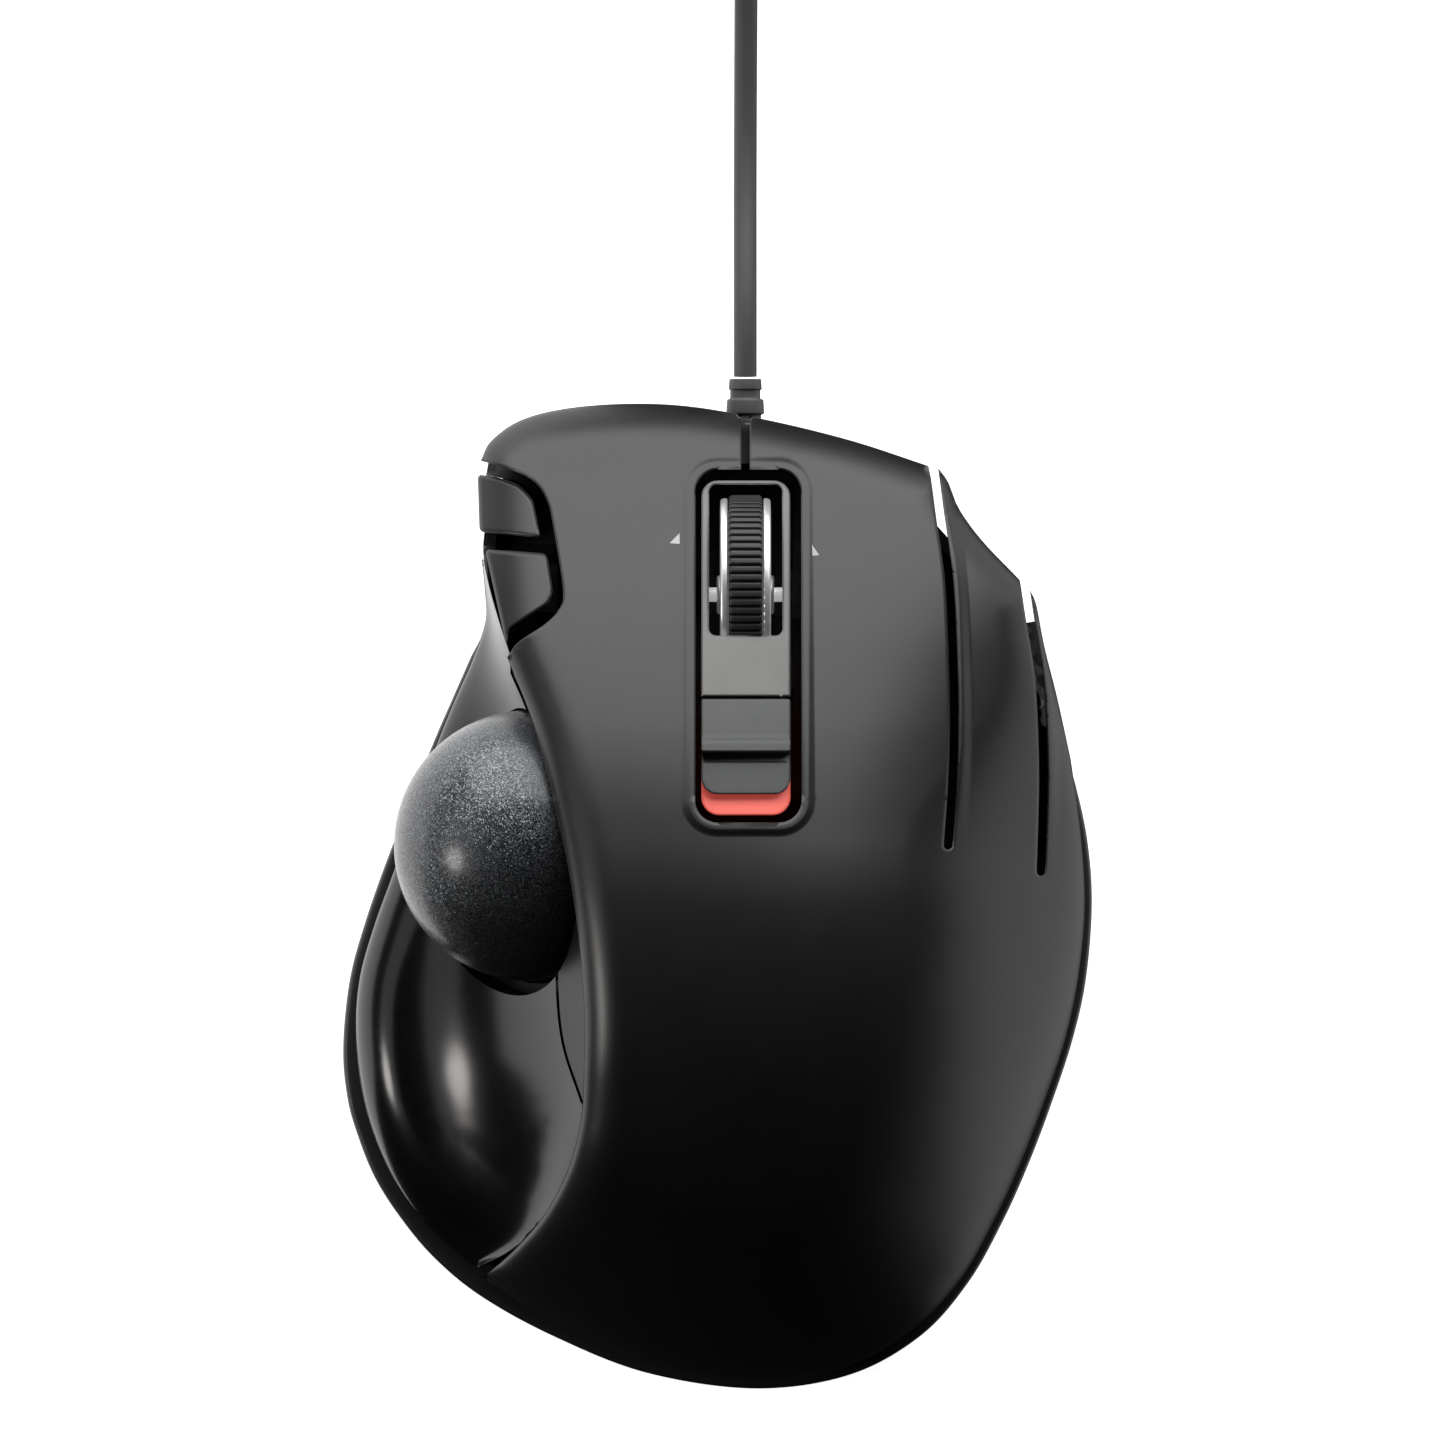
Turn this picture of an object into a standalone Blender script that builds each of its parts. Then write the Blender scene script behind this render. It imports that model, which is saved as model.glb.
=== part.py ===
"""A corded thumb trackball mouse, as the separate pieces that it is built from.

The frame: +Y points to the front, where the cord leaves, +X to the right, +Z up. The origin is on
the desk, under the middle of the body. Every length below is in millimetres, and MM turns it into
metres when a mesh is made.
"""

import math

import bmesh
import bpy
import numpy as np
from mathutils import Matrix, Vector
from mathutils.geometry import delaunay_2d_cdt

MM = 0.001

# Driving dimensions
GAP = 0.3
WALL = 2.0
BASE_BOTTOM = 1.1
FLOOR_TOP = 3.1
RIM_TOP = 3.9
SHELL_BOTTOM = RIM_TOP + GAP
BOARD_BOTTOM = 4.6
BOARD_TOP = 6.0

# The crown of the cover, front to rear along its ridge, as (y, z), and how it falls to the sides
RIDGE_X = -10.0
RIDGE = [
    (-66, 21), (-60, 24), (-50, 30.5), (-40, 37.5), (-30, 43.0), (-20, 46.6), (-10, 47.9),
    (0, 47.3), (10, 44.9), (20, 41.4), (30, 36.8), (38, 32.5), (46, 27.6), (54, 22.4), (62, 17.2),
    (68, 13.5),
]
SIDE_FALL = 30.0
SIDE_REACH = 57.0
FRONT_FALL_SHARE = 0.62
LIP_HEIGHT = 5.5
LIP_RADIUS = 6.0
SKIRT_RADIUS = 24.0
RIDGE_LIP = 4.6
RIDGE_RADIUS = 6.0

# Outlines, as (x, y)
COVER_FRONT = [
    (-29.8, 55.0), (-28.5, 57.5), (-24.8, 60.1), (-19.0, 61.6), (-11.0, 62.2), (-3.0, 61.8),
    (7.0, 60.0), (17.1, 57.5), (26.6, 54.4),
]
FIN_1_FRONT = [(28.0, 53.9), (29.1, 52.3), (30.5, 48.9), (33.4, 44.9), (38.1, 40.0)]
FIN_2_FRONT = [(39.4, 38.7), (40.2, 36.8), (41.2, 31.6), (42.9, 24.9), (44.6, 17.3)]
COVER_SIDE = [
    (44.6, 17.3), (45.9, 8.0), (46.4, -1.0), (45.6, -10.0), (43.9, -18.0), (41.4, -25.5),
    (38.5, -33.1), (35.1, -40.6), (30.8, -48.2), (24.8, -54.6), (16.2, -59.4), (4.7, -61.1),
    (-7.1, -59.4), (-16.3, -55.9), (-24.0, -51.8), (-29.5, -47.9),
]
SEAM = [
    (-29.5, -47.9), (-25.6, -44.3), (-21.7, -39.6), (-18.6, -33.6), (-17.0, -27.2), (-16.6, -20.0),
    (-16.6, -13.3), (-17.3, -4.5), (-18.5, 3.5), (-19.9, 10.0), (-22.7, 21.0), (-26.3, 30.2),
]
NOTCH = [
    (-26.3, 30.2), (-24.9, 32.1), (-21.6, 34.3), (-19.8, 36.2), (-19.3, 38.6), (-20.6, 46.8),
    (-21.4, 50.0), (-23.0, 52.3), (-25.7, 53.7), (-29.8, 55.0),
]
PANEL_RIM = [
    (-29.8, 42.8), (-29.4, 38.9), (-29.3, 34.9), (-31.0, 29.9), (-33.2, 24.9), (-35.3, 19.8),
    (-38.0, 12.5), (-40.6, 4.2), (-43.3, -3.3), (-45.2, -10.1), (-45.7, -16.8), (-45.0, -24.1),
    (-43.3, -30.4), (-40.6, -36.2), (-36.6, -41.6), (-30.7, -46.8),
]
PANEL_TIP = (-30.2, -46.7)
BUTTON_FOOT = [(-29.6, 43.0), (-28.7, 39.0), (-27.5, 35.0), (-26.0, 30.6)]
BASE_OUTLINE = [
    (-29.6, 43.0), (-29.3, 34.9), (-31.4, 29.9), (-33.6, 24.9), (-35.9, 19.6), (-38.9, 12.0),
    (-41.8, 4.7), (-44.5, -3.0), (-46.5, -10.4), (-47.35, -19.0), (-46.8, -25.5), (-45.4, -30.5),
    (-43.3, -35.6), (-40.1, -40.6), (-35.8, -45.7), (-29.8, -50.6), (-20.7, -55.6), (-9.0, -60.2),
    (4.7, -62.2), (16.6, -60.5), (25.6, -55.6), (31.7, -48.8), (36.1, -41.0), (39.5, -33.4),
    (42.4, -25.7), (44.9, -18.1), (46.6, -10.4), (47.35, -1.0), (46.8, 7.0), (45.2, 14.5),
    (42.9, 22.0), (40.3, 28.5), (37.4, 34.4), (33.2, 40.5), (29.0, 45.4), (24.0, 50.3),
    (17.0, 54.3), (8.0, 57.0), (-8.0, 58.6), (-19.0, 57.4), (-26.0, 53.8), (-28.6, 49.5),
]
SLOT_1 = [
    (27.3, 54.0), (28.1, 47.6), (29.15, 39.1), (29.6, 28.1), (29.65, 20.7), (29.35, 13.3), (28.85, 6.7),
]
SLOT_2 = [(38.75, 39.4), (39.35, 35.2), (40.45, 28.1), (40.9, 20.7), (41.0, 13.3), (40.7, 3.3)]
SLOT_WIDTH = 1.1

# The side buttons, as (x, y) outlines, each with its hinge and the place of its stem
FORWARD_OUTLINE = [
    (-30.2, 53.3), (-27.3, 52.8), (-24.9, 51.9), (-23.2, 50.0), (-22.2, 45.2), (-29.9, 46.0),
]
FORWARD_HINGE = (-22.2, 49.0, 21.0)
FORWARD_STEM = (-25.4, 47.4)
BACK_OUTLINE = [(-29.2, 43.8), (-21.4, 43.2), (-20.6, 38.4), (-21.3, 36.7), (-26.1, 33.7), (-26.4, 31.6)]
BACK_HINGE = (-20.8, 40.0, 26.0)
BACK_STEM = (-25.2, 39.0)
SIDE_BUTTON_DEPTH = 4.6

# Where the plungers of the main buttons' switches end, and those of the side buttons' switches
PLUNGER_TOP = 13.8
SIDE_PLUNGER_TOP = 11.6
# How far each plunger reaches into its switch's well
PLUNGER_SINK = 0.3

# The main buttons' hinges, which stand on the line where their skins join the cover, and stems
HINGE_Y = 12.5
LEFT_HINGE = (-11.0, HINGE_Y, 43.0)
LEFT_STEM = (-9.0, 47.5)
RIGHT_HINGE = (19.0, HINGE_Y, 37.0)
RIGHT_STEM = (16.0, 44.0)

# The base's rim and its standing front wall, and what is fixed under it, as (x, y) or (x, y, radius)
RIM_WIDTH = 4.2
FRONT_WALL = 1.7
FRONT_WALL_TOP = 12.0
SCREW_PLACES = [(-14.0, -44.0), (16.0, -42.0), (-22.0, 33.0), (30.0, 33.0)]
SCREW_HOLE_RADIUS = 2.6
BOSS_RADIUS = 3.0
BOSS_BORE_RADIUS = 1.6
FOOT_PLACES = [
    (-16.0, 52.0, 5.0), (18.0, 48.0, 4.0), (39.0, 2.0, 4.5), (-37.0, -28.0, 4.5), (4.0, -54.0, 5.0),
]
FOOT_HEIGHT = 0.8

# The thumb panel's height at its seam, as (y, z), and how high it rolls up from the rim
PANEL_SEAM = [
    (-50, 4.4), (-48, 6.2), (-44, 16.5), (-38, 28.0), (-30, 36.0), (-20, 40.2), (-10, 41.2),
    (0, 40.2), (10, 37.2), (20, 32.3), (26, 28.6), (30.6, 25.2), (35, 21.8), (39, 18.6), (43, 15.5),
]
PANEL_ROLL = [
    (-50, 0.3), (-46, 3.0), (-40, 6.6), (-25, 8.6), (-10, 7.8), (10, 6.2), (30, 7.0), (43, 8.5),
]
PANEL_ROLL_RADIUS = 6.0
PANEL_HOLLOW = 2.4

# The ball surround's outer edge, front apex to rear apex
SURROUND = [
    (-26.0, 28.2), (-23.6, 22.5), (-21.0, 13.0), (-19.9, 4.0), (-20.3, -8.0), (-19.6, -17.5),
    (-17.1, -25.4),
]

# Ball and its cup
BALL_CENTRE = (-23.6, 6.6, 22.6)
BALL_RADIUS = 17.0
CUP_INSIDE = BALL_RADIUS + 0.5
CUP_OUTSIDE = BALL_RADIUS + 1.9
CUP_TILT = math.radians(40)
EJECTOR_RADIUS = 6.0
BEARING_RADIUS = 1.25
BEARING_WAYS = [(-0.3, 0.55, -0.75), (-0.3, -0.55, -0.75), (0.9, 0.0, 0.05)]
CUP_MIDDLE = 18.2
SENSOR_WAY = Vector((0.72, 0.0, -0.69)).normalized()

# Scroll wheel
MIDDLE_X = 3.5
AXLE_Y = 38.1
AXLE_Z = 21.8
WHEEL_RADIUS = 12.5
WHEEL_CENTRE = (MIDDLE_X, AXLE_Y, AXLE_Z)
TILT_Z = 12.0
BAY_X = (-2.8, 10.5)
BAY_Y = (9.6, 53.8)
BAY_CORNER = 2.8
SLIT_WIDTH = 1.1
STRIP_X = (-2.0, 9.1)
BEZEL_Y = (25.3, 52.4)
SLIDER_Y = (13.1, 25.0)
WINDOW_X = (-1.07, 8.12)
WINDOW_FRONT = 51.9
BEZEL_SINK = 0.5
BEZEL_DEPTH = 2.2
SLIDER_DEPTH = 2.0
SLIDER_CORNER = 2.2
AXLE_RADIUS = 0.75
AXLE_HALF = 5.35

# Cord: an exit, a straight run over the desk, a coil, and a tail to the plug
CORD_RADIUS = 1.45
CORD_RUN = [
    (3.5, 65.7, 8.0), (3.5, 69.5, 7.9), (3.5, 75.0, 7.1), (3.5, 81.5, 5.3), (3.5, 88.0, 3.4),
    (3.52, 95.0, 2.0), (3.55, 103.0, 1.5), (3.6, 112.0, 1.5), (3.65, 121.0, 1.5), (3.65, 127.8, 1.5),
]
CORD_TAIL = [
    (3.65, 153.2, 9.6), (4.1, 158.0, 8.2), (6.3, 163.4, 6.0), (10.6, 167.6, 4.0), (15.6, 168.9, 2.9),
    (20.6, 167.6, 2.9), (24.4, 163.9, 3.4), (26.0, 158.3, 3.9),
]
COIL_CENTRE = (-16.65, 141.0)
COIL_MIDDLE = 17.4
COIL_WIDTH = 3 * 2 * CORD_RADIUS + 0.3
COIL_HEIGHT = 4 * 2 * CORD_RADIUS + 0.1
EXIT_HOLE = (MIDDLE_X, 57.5, 8.0)
EXIT_HOLE_RADIUS = 1.9
BOOT_START = (MIDDLE_X, 58.9, 8.0)
PLUG_AXIS = (26.0, 3.9)
PLUG_BACK = 157.9
PLUG_FACE = 129.3
PLUG_TIP = 117.0
PLUG_BOOT = 5.5

FINISHES = {
    "matte_black": ((0.035, 0.036, 0.038), 0.55, 0.0),
    "gloss_black": ((0.008, 0.008, 0.009), 0.08, 0.0),
    "ball_black": ((0.03, 0.033, 0.038), 0.2, 0.6),
    "warm_grey": ((0.16, 0.155, 0.145), 0.35, 0.6),
    "dark_grey": ((0.07, 0.072, 0.074), 0.5, 0.0),
    "coral": ((0.83, 0.13, 0.09), 0.45, 0.0),
    "rubber": ((0.02, 0.02, 0.02), 0.7, 0.0),
    "chrome": ((0.75, 0.76, 0.78), 0.15, 1.0),
    "steel": ((0.55, 0.56, 0.58), 0.3, 1.0),
    "ruby": ((0.45, 0.02, 0.03), 0.1, 0.0),
    "board_black": ((0.012, 0.014, 0.013), 0.4, 0.0),
    "white_plastic": ((0.75, 0.75, 0.72), 0.4, 0.0),
    "clear_lens": ((0.5, 0.5, 0.5), 0.05, 0.0),
    "cord_grey": ((0.06, 0.06, 0.062), 0.5, 0.0),
    "foot_grey": ((0.1, 0.1, 0.1), 0.5, 0.0),
}


# ---------------------------------------------------------------- curves and heights


def smooth(points, step):
    """Points about `step` apart along a Catmull-Rom curve through the given ones."""
    p = np.asarray(points, float)
    p = np.vstack([2 * p[0] - p[1], p, 2 * p[-1] - p[-2]])
    found = []
    for before, start, end, after in zip(p, p[1:], p[2:], p[3:]):
        count = max(1, round(float(np.linalg.norm(end - start) / step)))
        t = np.arange(count)[:, None] / count
        bend = (2 * before - 5 * start + 4 * end - after) * t**2
        twist = (3 * start - before - 3 * end + after) * t**3
        found.append(0.5 * (2 * start + (end - before) * t + bend + twist))
    return np.vstack([*found, p[-2:-1]])


def smooth_loop(points, step):
    """The same on a closed curve, without repeating the first point."""
    count = len(points)
    wrapped = [*points[-3:], *points, *points[:3]]
    fine = smooth(wrapped, step)
    start = len(smooth(wrapped[:4], step)) - 1
    length = len(smooth(wrapped[: 4 + count], step)) - 1 - start
    return fine[start : start + length]


def profile(knots):
    """A function that reads a smooth curve through (position, height) knots."""
    fine = smooth(knots, 1.0)
    return lambda at: np.interp(at, fine[:, 0], fine[:, 1])


def smoothstep(low, high, value):
    t = np.clip((value - low) / (high - low), 0, 1)
    return t * t * (3 - 2 * t)


def roll(share):
    """A quarter circle: 0 at an edge, 1 once `share` of the way in."""
    return np.sqrt(1 - (1 - np.clip(share, 0, 1)) ** 2)


def distance(points, line):
    """How far each point is from an open line of points."""
    start, along = line[:-1], line[1:] - line[:-1]
    start, along = start[(along**2).sum(1) > 0], along[(along**2).sum(1) > 0]
    t = ((points[:, None] - start) * along).sum(2) / (along**2).sum(1)
    near = start + np.clip(t, 0, 1)[..., None] * along
    return np.linalg.norm(points[:, None] - near, axis=2).min(1)


def inside(points, loop):
    """Which points lie inside a closed loop."""
    x, y = points[:, 0, None], points[:, 1, None]
    start, end = loop, np.roll(loop, -1, axis=0)
    rise = end[:, 1] - start[:, 1]
    crosses = (start[:, 1] > y) != (end[:, 1] > y)
    at = start[:, 0] + (y - start[:, 1]) * (end[:, 0] - start[:, 0]) / np.where(rise == 0, 1, rise)
    return (crosses & (x < at)).sum(1) % 2 == 1


ridge_height = profile(RIDGE)
panel_seam_height = profile(PANEL_SEAM)
panel_roll_height = profile(PANEL_ROLL)
OUTER_EDGE = np.vstack([smooth(line, 3) for line in (COVER_FRONT, FIN_1_FRONT, FIN_2_FRONT, COVER_SIDE)])
SEAM_EDGE = smooth(SEAM, 3)
COVER_LOOP = np.vstack([OUTER_EDGE, SEAM_EDGE, smooth(NOTCH, 3)])
PANEL_RIM_EDGE = smooth(PANEL_RIM, 3)
PANEL_INNER = [(x + (0.9 if y > -42 else -0.3), y) for x, y in SEAM[1:-1]]
PANEL_INNER_EDGE = np.vstack([smooth([PANEL_TIP, *PANEL_INNER], 3), smooth(BUTTON_FOOT, 3)[::-1]])
BASE_EDGE = smooth_loop(BASE_OUTLINE, 4.5)


def crown(points):
    """The cover's height before its edges roll down."""
    x, y = points[:, 0], points[:, 1]
    share = 1 - (1 - FRONT_FALL_SHARE) * smoothstep(8, 56, y)
    return ridge_height(y) - SIDE_FALL * ((x - RIDGE_X) / SIDE_REACH) ** 2 * share


def cover_height(points, inset=0.0):
    """The cover's outer surface, or the surface `inset` inside it."""
    high = crown(points) - inset
    lifted = smoothstep(4, 32, points[:, 1])
    low = np.minimum(SHELL_BOTTOM + (crown(points) - LIP_HEIGHT - SHELL_BOTTOM) * lifted, high)
    radius = SKIRT_RADIUS + (LIP_RADIUS - SKIRT_RADIUS) * lifted
    from_edge = distance(points, OUTER_EDGE) - inset
    rolled = low + (high - low) * roll((from_edge + 0.4) / radius)
    from_seam = np.maximum(distance(points, SEAM_EDGE) - inset, 0)
    lip = np.minimum(RIDGE_LIP, 0.35 * (rolled - SHELL_BOTTOM))
    height = rolled - lip * (1 - roll((from_seam + 0.2) / RIDGE_RADIUS))
    under_edge = (from_edge <= 0) & (inset > 0)
    return np.where(under_edge, low, np.maximum(height, low))


def cover_outside(points):
    return np.maximum(cover_height(points), cover_height(points, WALL) + 0.5)


def cover_inside(points):
    return cover_height(points, WALL)


def panel_height(points, inset=0.0):
    """The thumb panel's outer surface, or the surface `inset` inside it."""
    y = points[:, 1]
    from_rim = np.maximum(distance(points, PANEL_RIM_EDGE) - inset, 0)
    from_seam = distance(points, PANEL_INNER_EDGE) + 0.01
    share = from_rim / (from_rim + from_seam + inset)
    seam, rolled = panel_seam_height(y), panel_roll_height(y)
    rise = np.maximum(seam - SHELL_BOTTOM - rolled, 0)
    height = SHELL_BOTTOM + rolled * roll((from_rim + 0.3) / PANEL_ROLL_RADIUS) + rise * share**PANEL_HOLLOW
    return np.where(from_rim <= 0, SHELL_BOTTOM, height - inset) if inset else height


def panel_outside(points):
    """The panel's outer surface, kept under the cover's lip where that overhangs it."""
    height = np.maximum(panel_height(points), SHELL_BOTTOM + 0.8)
    under_lip = np.where(inside(points, COVER_LOOP), cover_inside(points) - 0.9, height)
    return np.minimum(height, under_lip)


def panel_inside(points):
    thin = np.minimum(panel_height(points, WALL), panel_outside(points) - 0.7)
    return np.minimum(np.maximum(thin, SHELL_BOTTOM), panel_outside(points) - 0.3)


def side_button_height(points):
    """The side buttons' tops: just under the cover's crown, falling to the left."""
    return crown(points) - 1.0 - 4.0 * (np.clip(-20 - points[:, 0], 0, None) / 10) ** 2


# ---------------------------------------------------------------- making solids


def finish(name):
    """The named material, made on first use."""
    found = bpy.data.materials.get(name)
    if found:
        return found
    colour, roughness, metallic = FINISHES[name]
    made = bpy.data.materials.new(name)
    made.use_nodes = True
    shader = made.node_tree.nodes["Principled BSDF"]
    shader.inputs["Base Color"].default_value = (*colour, 1)
    shader.inputs["Roughness"].default_value = roughness
    shader.inputs["Metallic"].default_value = metallic
    return made


def solid(name, points, faces, material=None, origin=(0, 0, 0)):
    """An object from points in millimetres, with its own origin at `origin`. No material: a cutter."""
    mesh = bpy.data.meshes.new(name)
    at = (np.asarray(points, float) - origin) * MM
    mesh.from_pydata([tuple(p) for p in at], [], [list(f) for f in faces])
    work = bmesh.new()
    work.from_mesh(mesh)
    bmesh.ops.recalc_face_normals(work, faces=work.faces)
    work.to_mesh(mesh)
    work.free()
    made = bpy.data.objects.new(name, mesh)
    made.location = Vector(origin) * MM
    bpy.context.scene.collection.objects.link(made)
    if material:
        mesh.materials.append(finish(material))
        mesh.shade_smooth()
        mesh.set_sharp_from_angle(angle=math.radians(35))
    else:
        made.hide_render = True
        made.display_type = "WIRE"
    return made


def combine(target, other, operation="DIFFERENCE"):
    modifier = target.modifiers.new(other.name, "BOOLEAN")
    modifier.object = other
    modifier.operation = operation
    modifier.solver = "EXACT"
    return target


def sheet_points(loop, rings, spacing):
    """Points for a sheet: its outline, rings inside that, and a grid over the rest."""
    closed = np.vstack([loop, loop[:1]])
    ahead, behind = np.roll(loop, -1, axis=0), np.roll(loop, 1, axis=0)
    along = ahead - behind
    inward = np.stack([-along[:, 1], along[:, 0]], 1) / np.linalg.norm(along, axis=1)[:, None]
    kept = loop
    for depth in rings:
        ring = loop + inward * depth
        ring = ring[inside(ring, loop)]
        added = np.zeros((0, 2))
        for point in ring[distance(ring, closed) > 0.93 * depth]:
            if len(added) == 0 or np.linalg.norm(added - point, axis=1).min() > 0.3 * spacing:
                added = np.vstack([added, point])
        kept = np.vstack([kept, added])
    low, high = loop.min(0), loop.max(0)
    rows = np.arange(low[1], high[1], spacing * 0.87)
    columns = np.arange(low[0], high[0], spacing)
    grid = np.array([(x + spacing / 2 * (i % 2), y) for i, y in enumerate(rows) for x in columns])
    grid = grid[inside(grid, loop)]
    margin = (rings[-1] if rings else 0) + 0.6 * spacing
    return np.vstack([kept, grid[distance(grid, closed) > margin]])


def sheet(name, loop, top, bottom, material=None, rings=(), spacing=6.0, origin=(0, 0, 0)):
    """A closed solid between two heights, `top` and `bottom`, over a counter-clockwise outline."""
    loop = np.asarray(loop, float)
    points = sheet_points(loop, rings, spacing)
    corners = [Vector(p) for p in points]
    flat, _, faces, *_ = delaunay_2d_cdt(corners, [], [list(range(len(loop)))], 1, 1e-5)
    flat = np.array([tuple(p) for p in flat])
    count = len(flat)
    upper = np.column_stack([flat, top(flat)])
    lower = np.column_stack([flat, bottom(flat)])
    edges = {(a, b) for f in faces for a, b in zip(f, [*f[1:], f[0]])}
    walls = [(a, b, b + count, a + count) for a, b in edges if (b, a) not in edges]
    floor = [[v + count for v in reversed(f)] for f in faces]
    walls = [(a, d, c, b) for a, b, c, d in walls]
    return solid(name, np.vstack([upper, lower]), [*faces, *floor, *walls], material, origin)


def flat_at(height):
    return lambda points: np.full(len(points), float(height))


def prism(name, outline, low, high, material=None, origin=(0, 0, 0)):
    """An outline in XY, extruded from one height to another."""
    count = len(outline)
    points = [(x, y, low) for x, y in outline] + [(x, y, high) for x, y in outline]
    sides = [(i, (i + 1) % count, (i + 1) % count + count, i + count) for i in range(count)]
    faces = [range(count - 1, -1, -1), range(count, 2 * count), *sides]
    return solid(name, points, faces, material, origin)


def box(name, low, high, material=None, origin=(0, 0, 0)):
    outline = [(low[0], low[1]), (high[0], low[1]), (high[0], high[1]), (low[0], high[1])]
    return prism(name, outline, low[2], high[2], material, origin)


def rounded(low, high, radius, steps=4):
    """A rectangle's outline with round corners, counter-clockwise."""
    centres = [(high[0] - radius, high[1] - radius), (low[0] + radius, high[1] - radius)]
    centres += [(low[0] + radius, low[1] + radius), (high[0] - radius, low[1] + radius)]
    found = []
    for quarter, (x, y) in enumerate(centres):
        for step in range(steps + 1):
            angle = (quarter + step / steps) * math.pi / 2
            found.append((x + radius * math.cos(angle), y + radius * math.sin(angle)))
    return found


def turned(name, outline, centre, axis, material=None, segments=24, origin=None):
    """A solid turned about `axis` through `centre`, from a closed outline of (radius, along)."""
    turn = Vector((0, 0, 1)).rotation_difference(Vector(axis)).to_matrix()
    points, rows = [], []
    for radius, along in outline:
        steps = 1 if radius < 1e-6 else segments
        rows.append([len(points) + (k % steps) for k in range(segments)])
        for k in range(steps):
            angle = 2 * math.pi * k / segments
            spoke = Vector((radius * math.cos(angle), radius * math.sin(angle), along))
            points.append(tuple(turn @ spoke + Vector(centre)))
    faces = []
    for this, that in zip(rows, [*rows[1:], rows[0]]):
        for k in range(segments):
            face = [this[k], this[(k + 1) % segments], that[(k + 1) % segments], that[k]]
            face = list(dict.fromkeys(face))
            if len(face) > 2:
                faces.append(face)
    return solid(name, points, faces, material, centre if origin is None else origin)


def rod(name, centre, axis, radius, half, material=None, segments=20, origin=None):
    outline = [(0, -half), (radius, -half), (radius, half), (0, half)]
    return turned(name, outline, centre, axis, material, segments, origin)


def sphere(name, centre, radius, material=None, rows=12, segments=24):
    angles = [math.pi * k / rows for k in range(rows + 1)]
    outline = [(radius * math.sin(angle), -radius * math.cos(angle)) for angle in angles]
    return turned(name, outline, centre, (0, 0, 1), material, segments)


def tube(name, route, radius, material):
    """A POLY curve along a route, read from a smooth curve through its points."""
    points = smooth(route, 3 * CORD_RADIUS)
    curve = bpy.data.curves.new(name, "CURVE")
    curve.dimensions = "3D"
    curve.bevel_depth = radius * MM
    curve.bevel_resolution = 2
    curve.use_fill_caps = True
    spline = curve.splines.new("POLY")
    spline.points.add(len(points) - 1)
    for knot, point in zip(spline.points, points):
        knot.co = (*(point * MM), 1)
    curve.materials.append(finish(material))
    made = bpy.data.objects.new(name, curve)
    bpy.context.scene.collection.objects.link(made)
    return made


# ---------------------------------------------------------------- outlines of the shell


def moved(line, side):
    """An open line shifted sideways, to its left for a positive distance."""
    along = np.gradient(line, axis=0)
    normal = np.stack([-along[:, 1], along[:, 0]], 1) / np.linalg.norm(along, axis=1)[:, None]
    return line + normal * side


def slot_side(slot, side, past=99.0):
    """One edge of a slot, front to rear, from `past` backwards. Positive is the right-hand edge."""
    line = moved(smooth(slot, 4), side * SLOT_WIDTH / 2)
    return line[line[:, 1] < past]


def split_front():
    """The cover's front edge on either side of the middle slit."""
    line = smooth(COVER_FRONT, 3)
    left = line[line[:, 0] < MIDDLE_X - SLIT_WIDTH]
    right = line[line[:, 0] > MIDDLE_X + SLIT_WIDTH]
    edge = np.interp([MIDDLE_X - SLIT_WIDTH / 2, MIDDLE_X + SLIT_WIDTH / 2], line[:, 0], line[:, 1])
    left = np.vstack([left, [MIDDLE_X - SLIT_WIDTH / 2, edge[0]]])
    right = np.vstack([[MIDDLE_X + SLIT_WIDTH / 2, edge[1]], right])
    return left, right


def bay_corner(x, y, first):
    """A quarter of a round bay corner, from angle `first` on, in degrees."""
    angles = np.radians(np.linspace(first, first + 90, 4))
    return np.stack([x + BAY_CORNER * np.cos(angles), y + BAY_CORNER * np.sin(angles)], 1)


def left_button_loop():
    seam = SEAM_EDGE[SEAM_EDGE[:, 1] > HINGE_Y + 1]
    start = [np.interp(HINGE_Y + GAP / 2, SEAM_EDGE[:, 1], SEAM_EDGE[:, 0]), HINGE_Y + GAP / 2]
    corner = bay_corner(BAY_X[0] + BAY_CORNER, BAY_Y[1] - BAY_CORNER, 90)
    slit = [[MIDDLE_X - SLIT_WIDTH / 2, BAY_Y[1]]]
    front, _ = split_front()
    loop = [[start], seam, smooth(NOTCH, 3)[1:-1], front, slit, corner, [[BAY_X[0], HINGE_Y + GAP / 2]]]
    return np.vstack(loop)[::-1]


def right_button_loop():
    corner = bay_corner(BAY_X[1] - BAY_CORNER, BAY_Y[1] - BAY_CORNER, 0)
    slit = [[MIDDLE_X + SLIT_WIDTH / 2, BAY_Y[1]]]
    _, front = split_front()
    side = slot_side(SLOT_1, -1, 53)
    side = side[side[:, 1] > HINGE_Y + 1]
    end = [[side[-1, 0], HINGE_Y + GAP / 2], [BAY_X[1], HINGE_Y + GAP / 2]]
    return np.vstack([[[BAY_X[1], HINGE_Y + 20]], corner, slit, front, side, end])[::-1]


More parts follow.
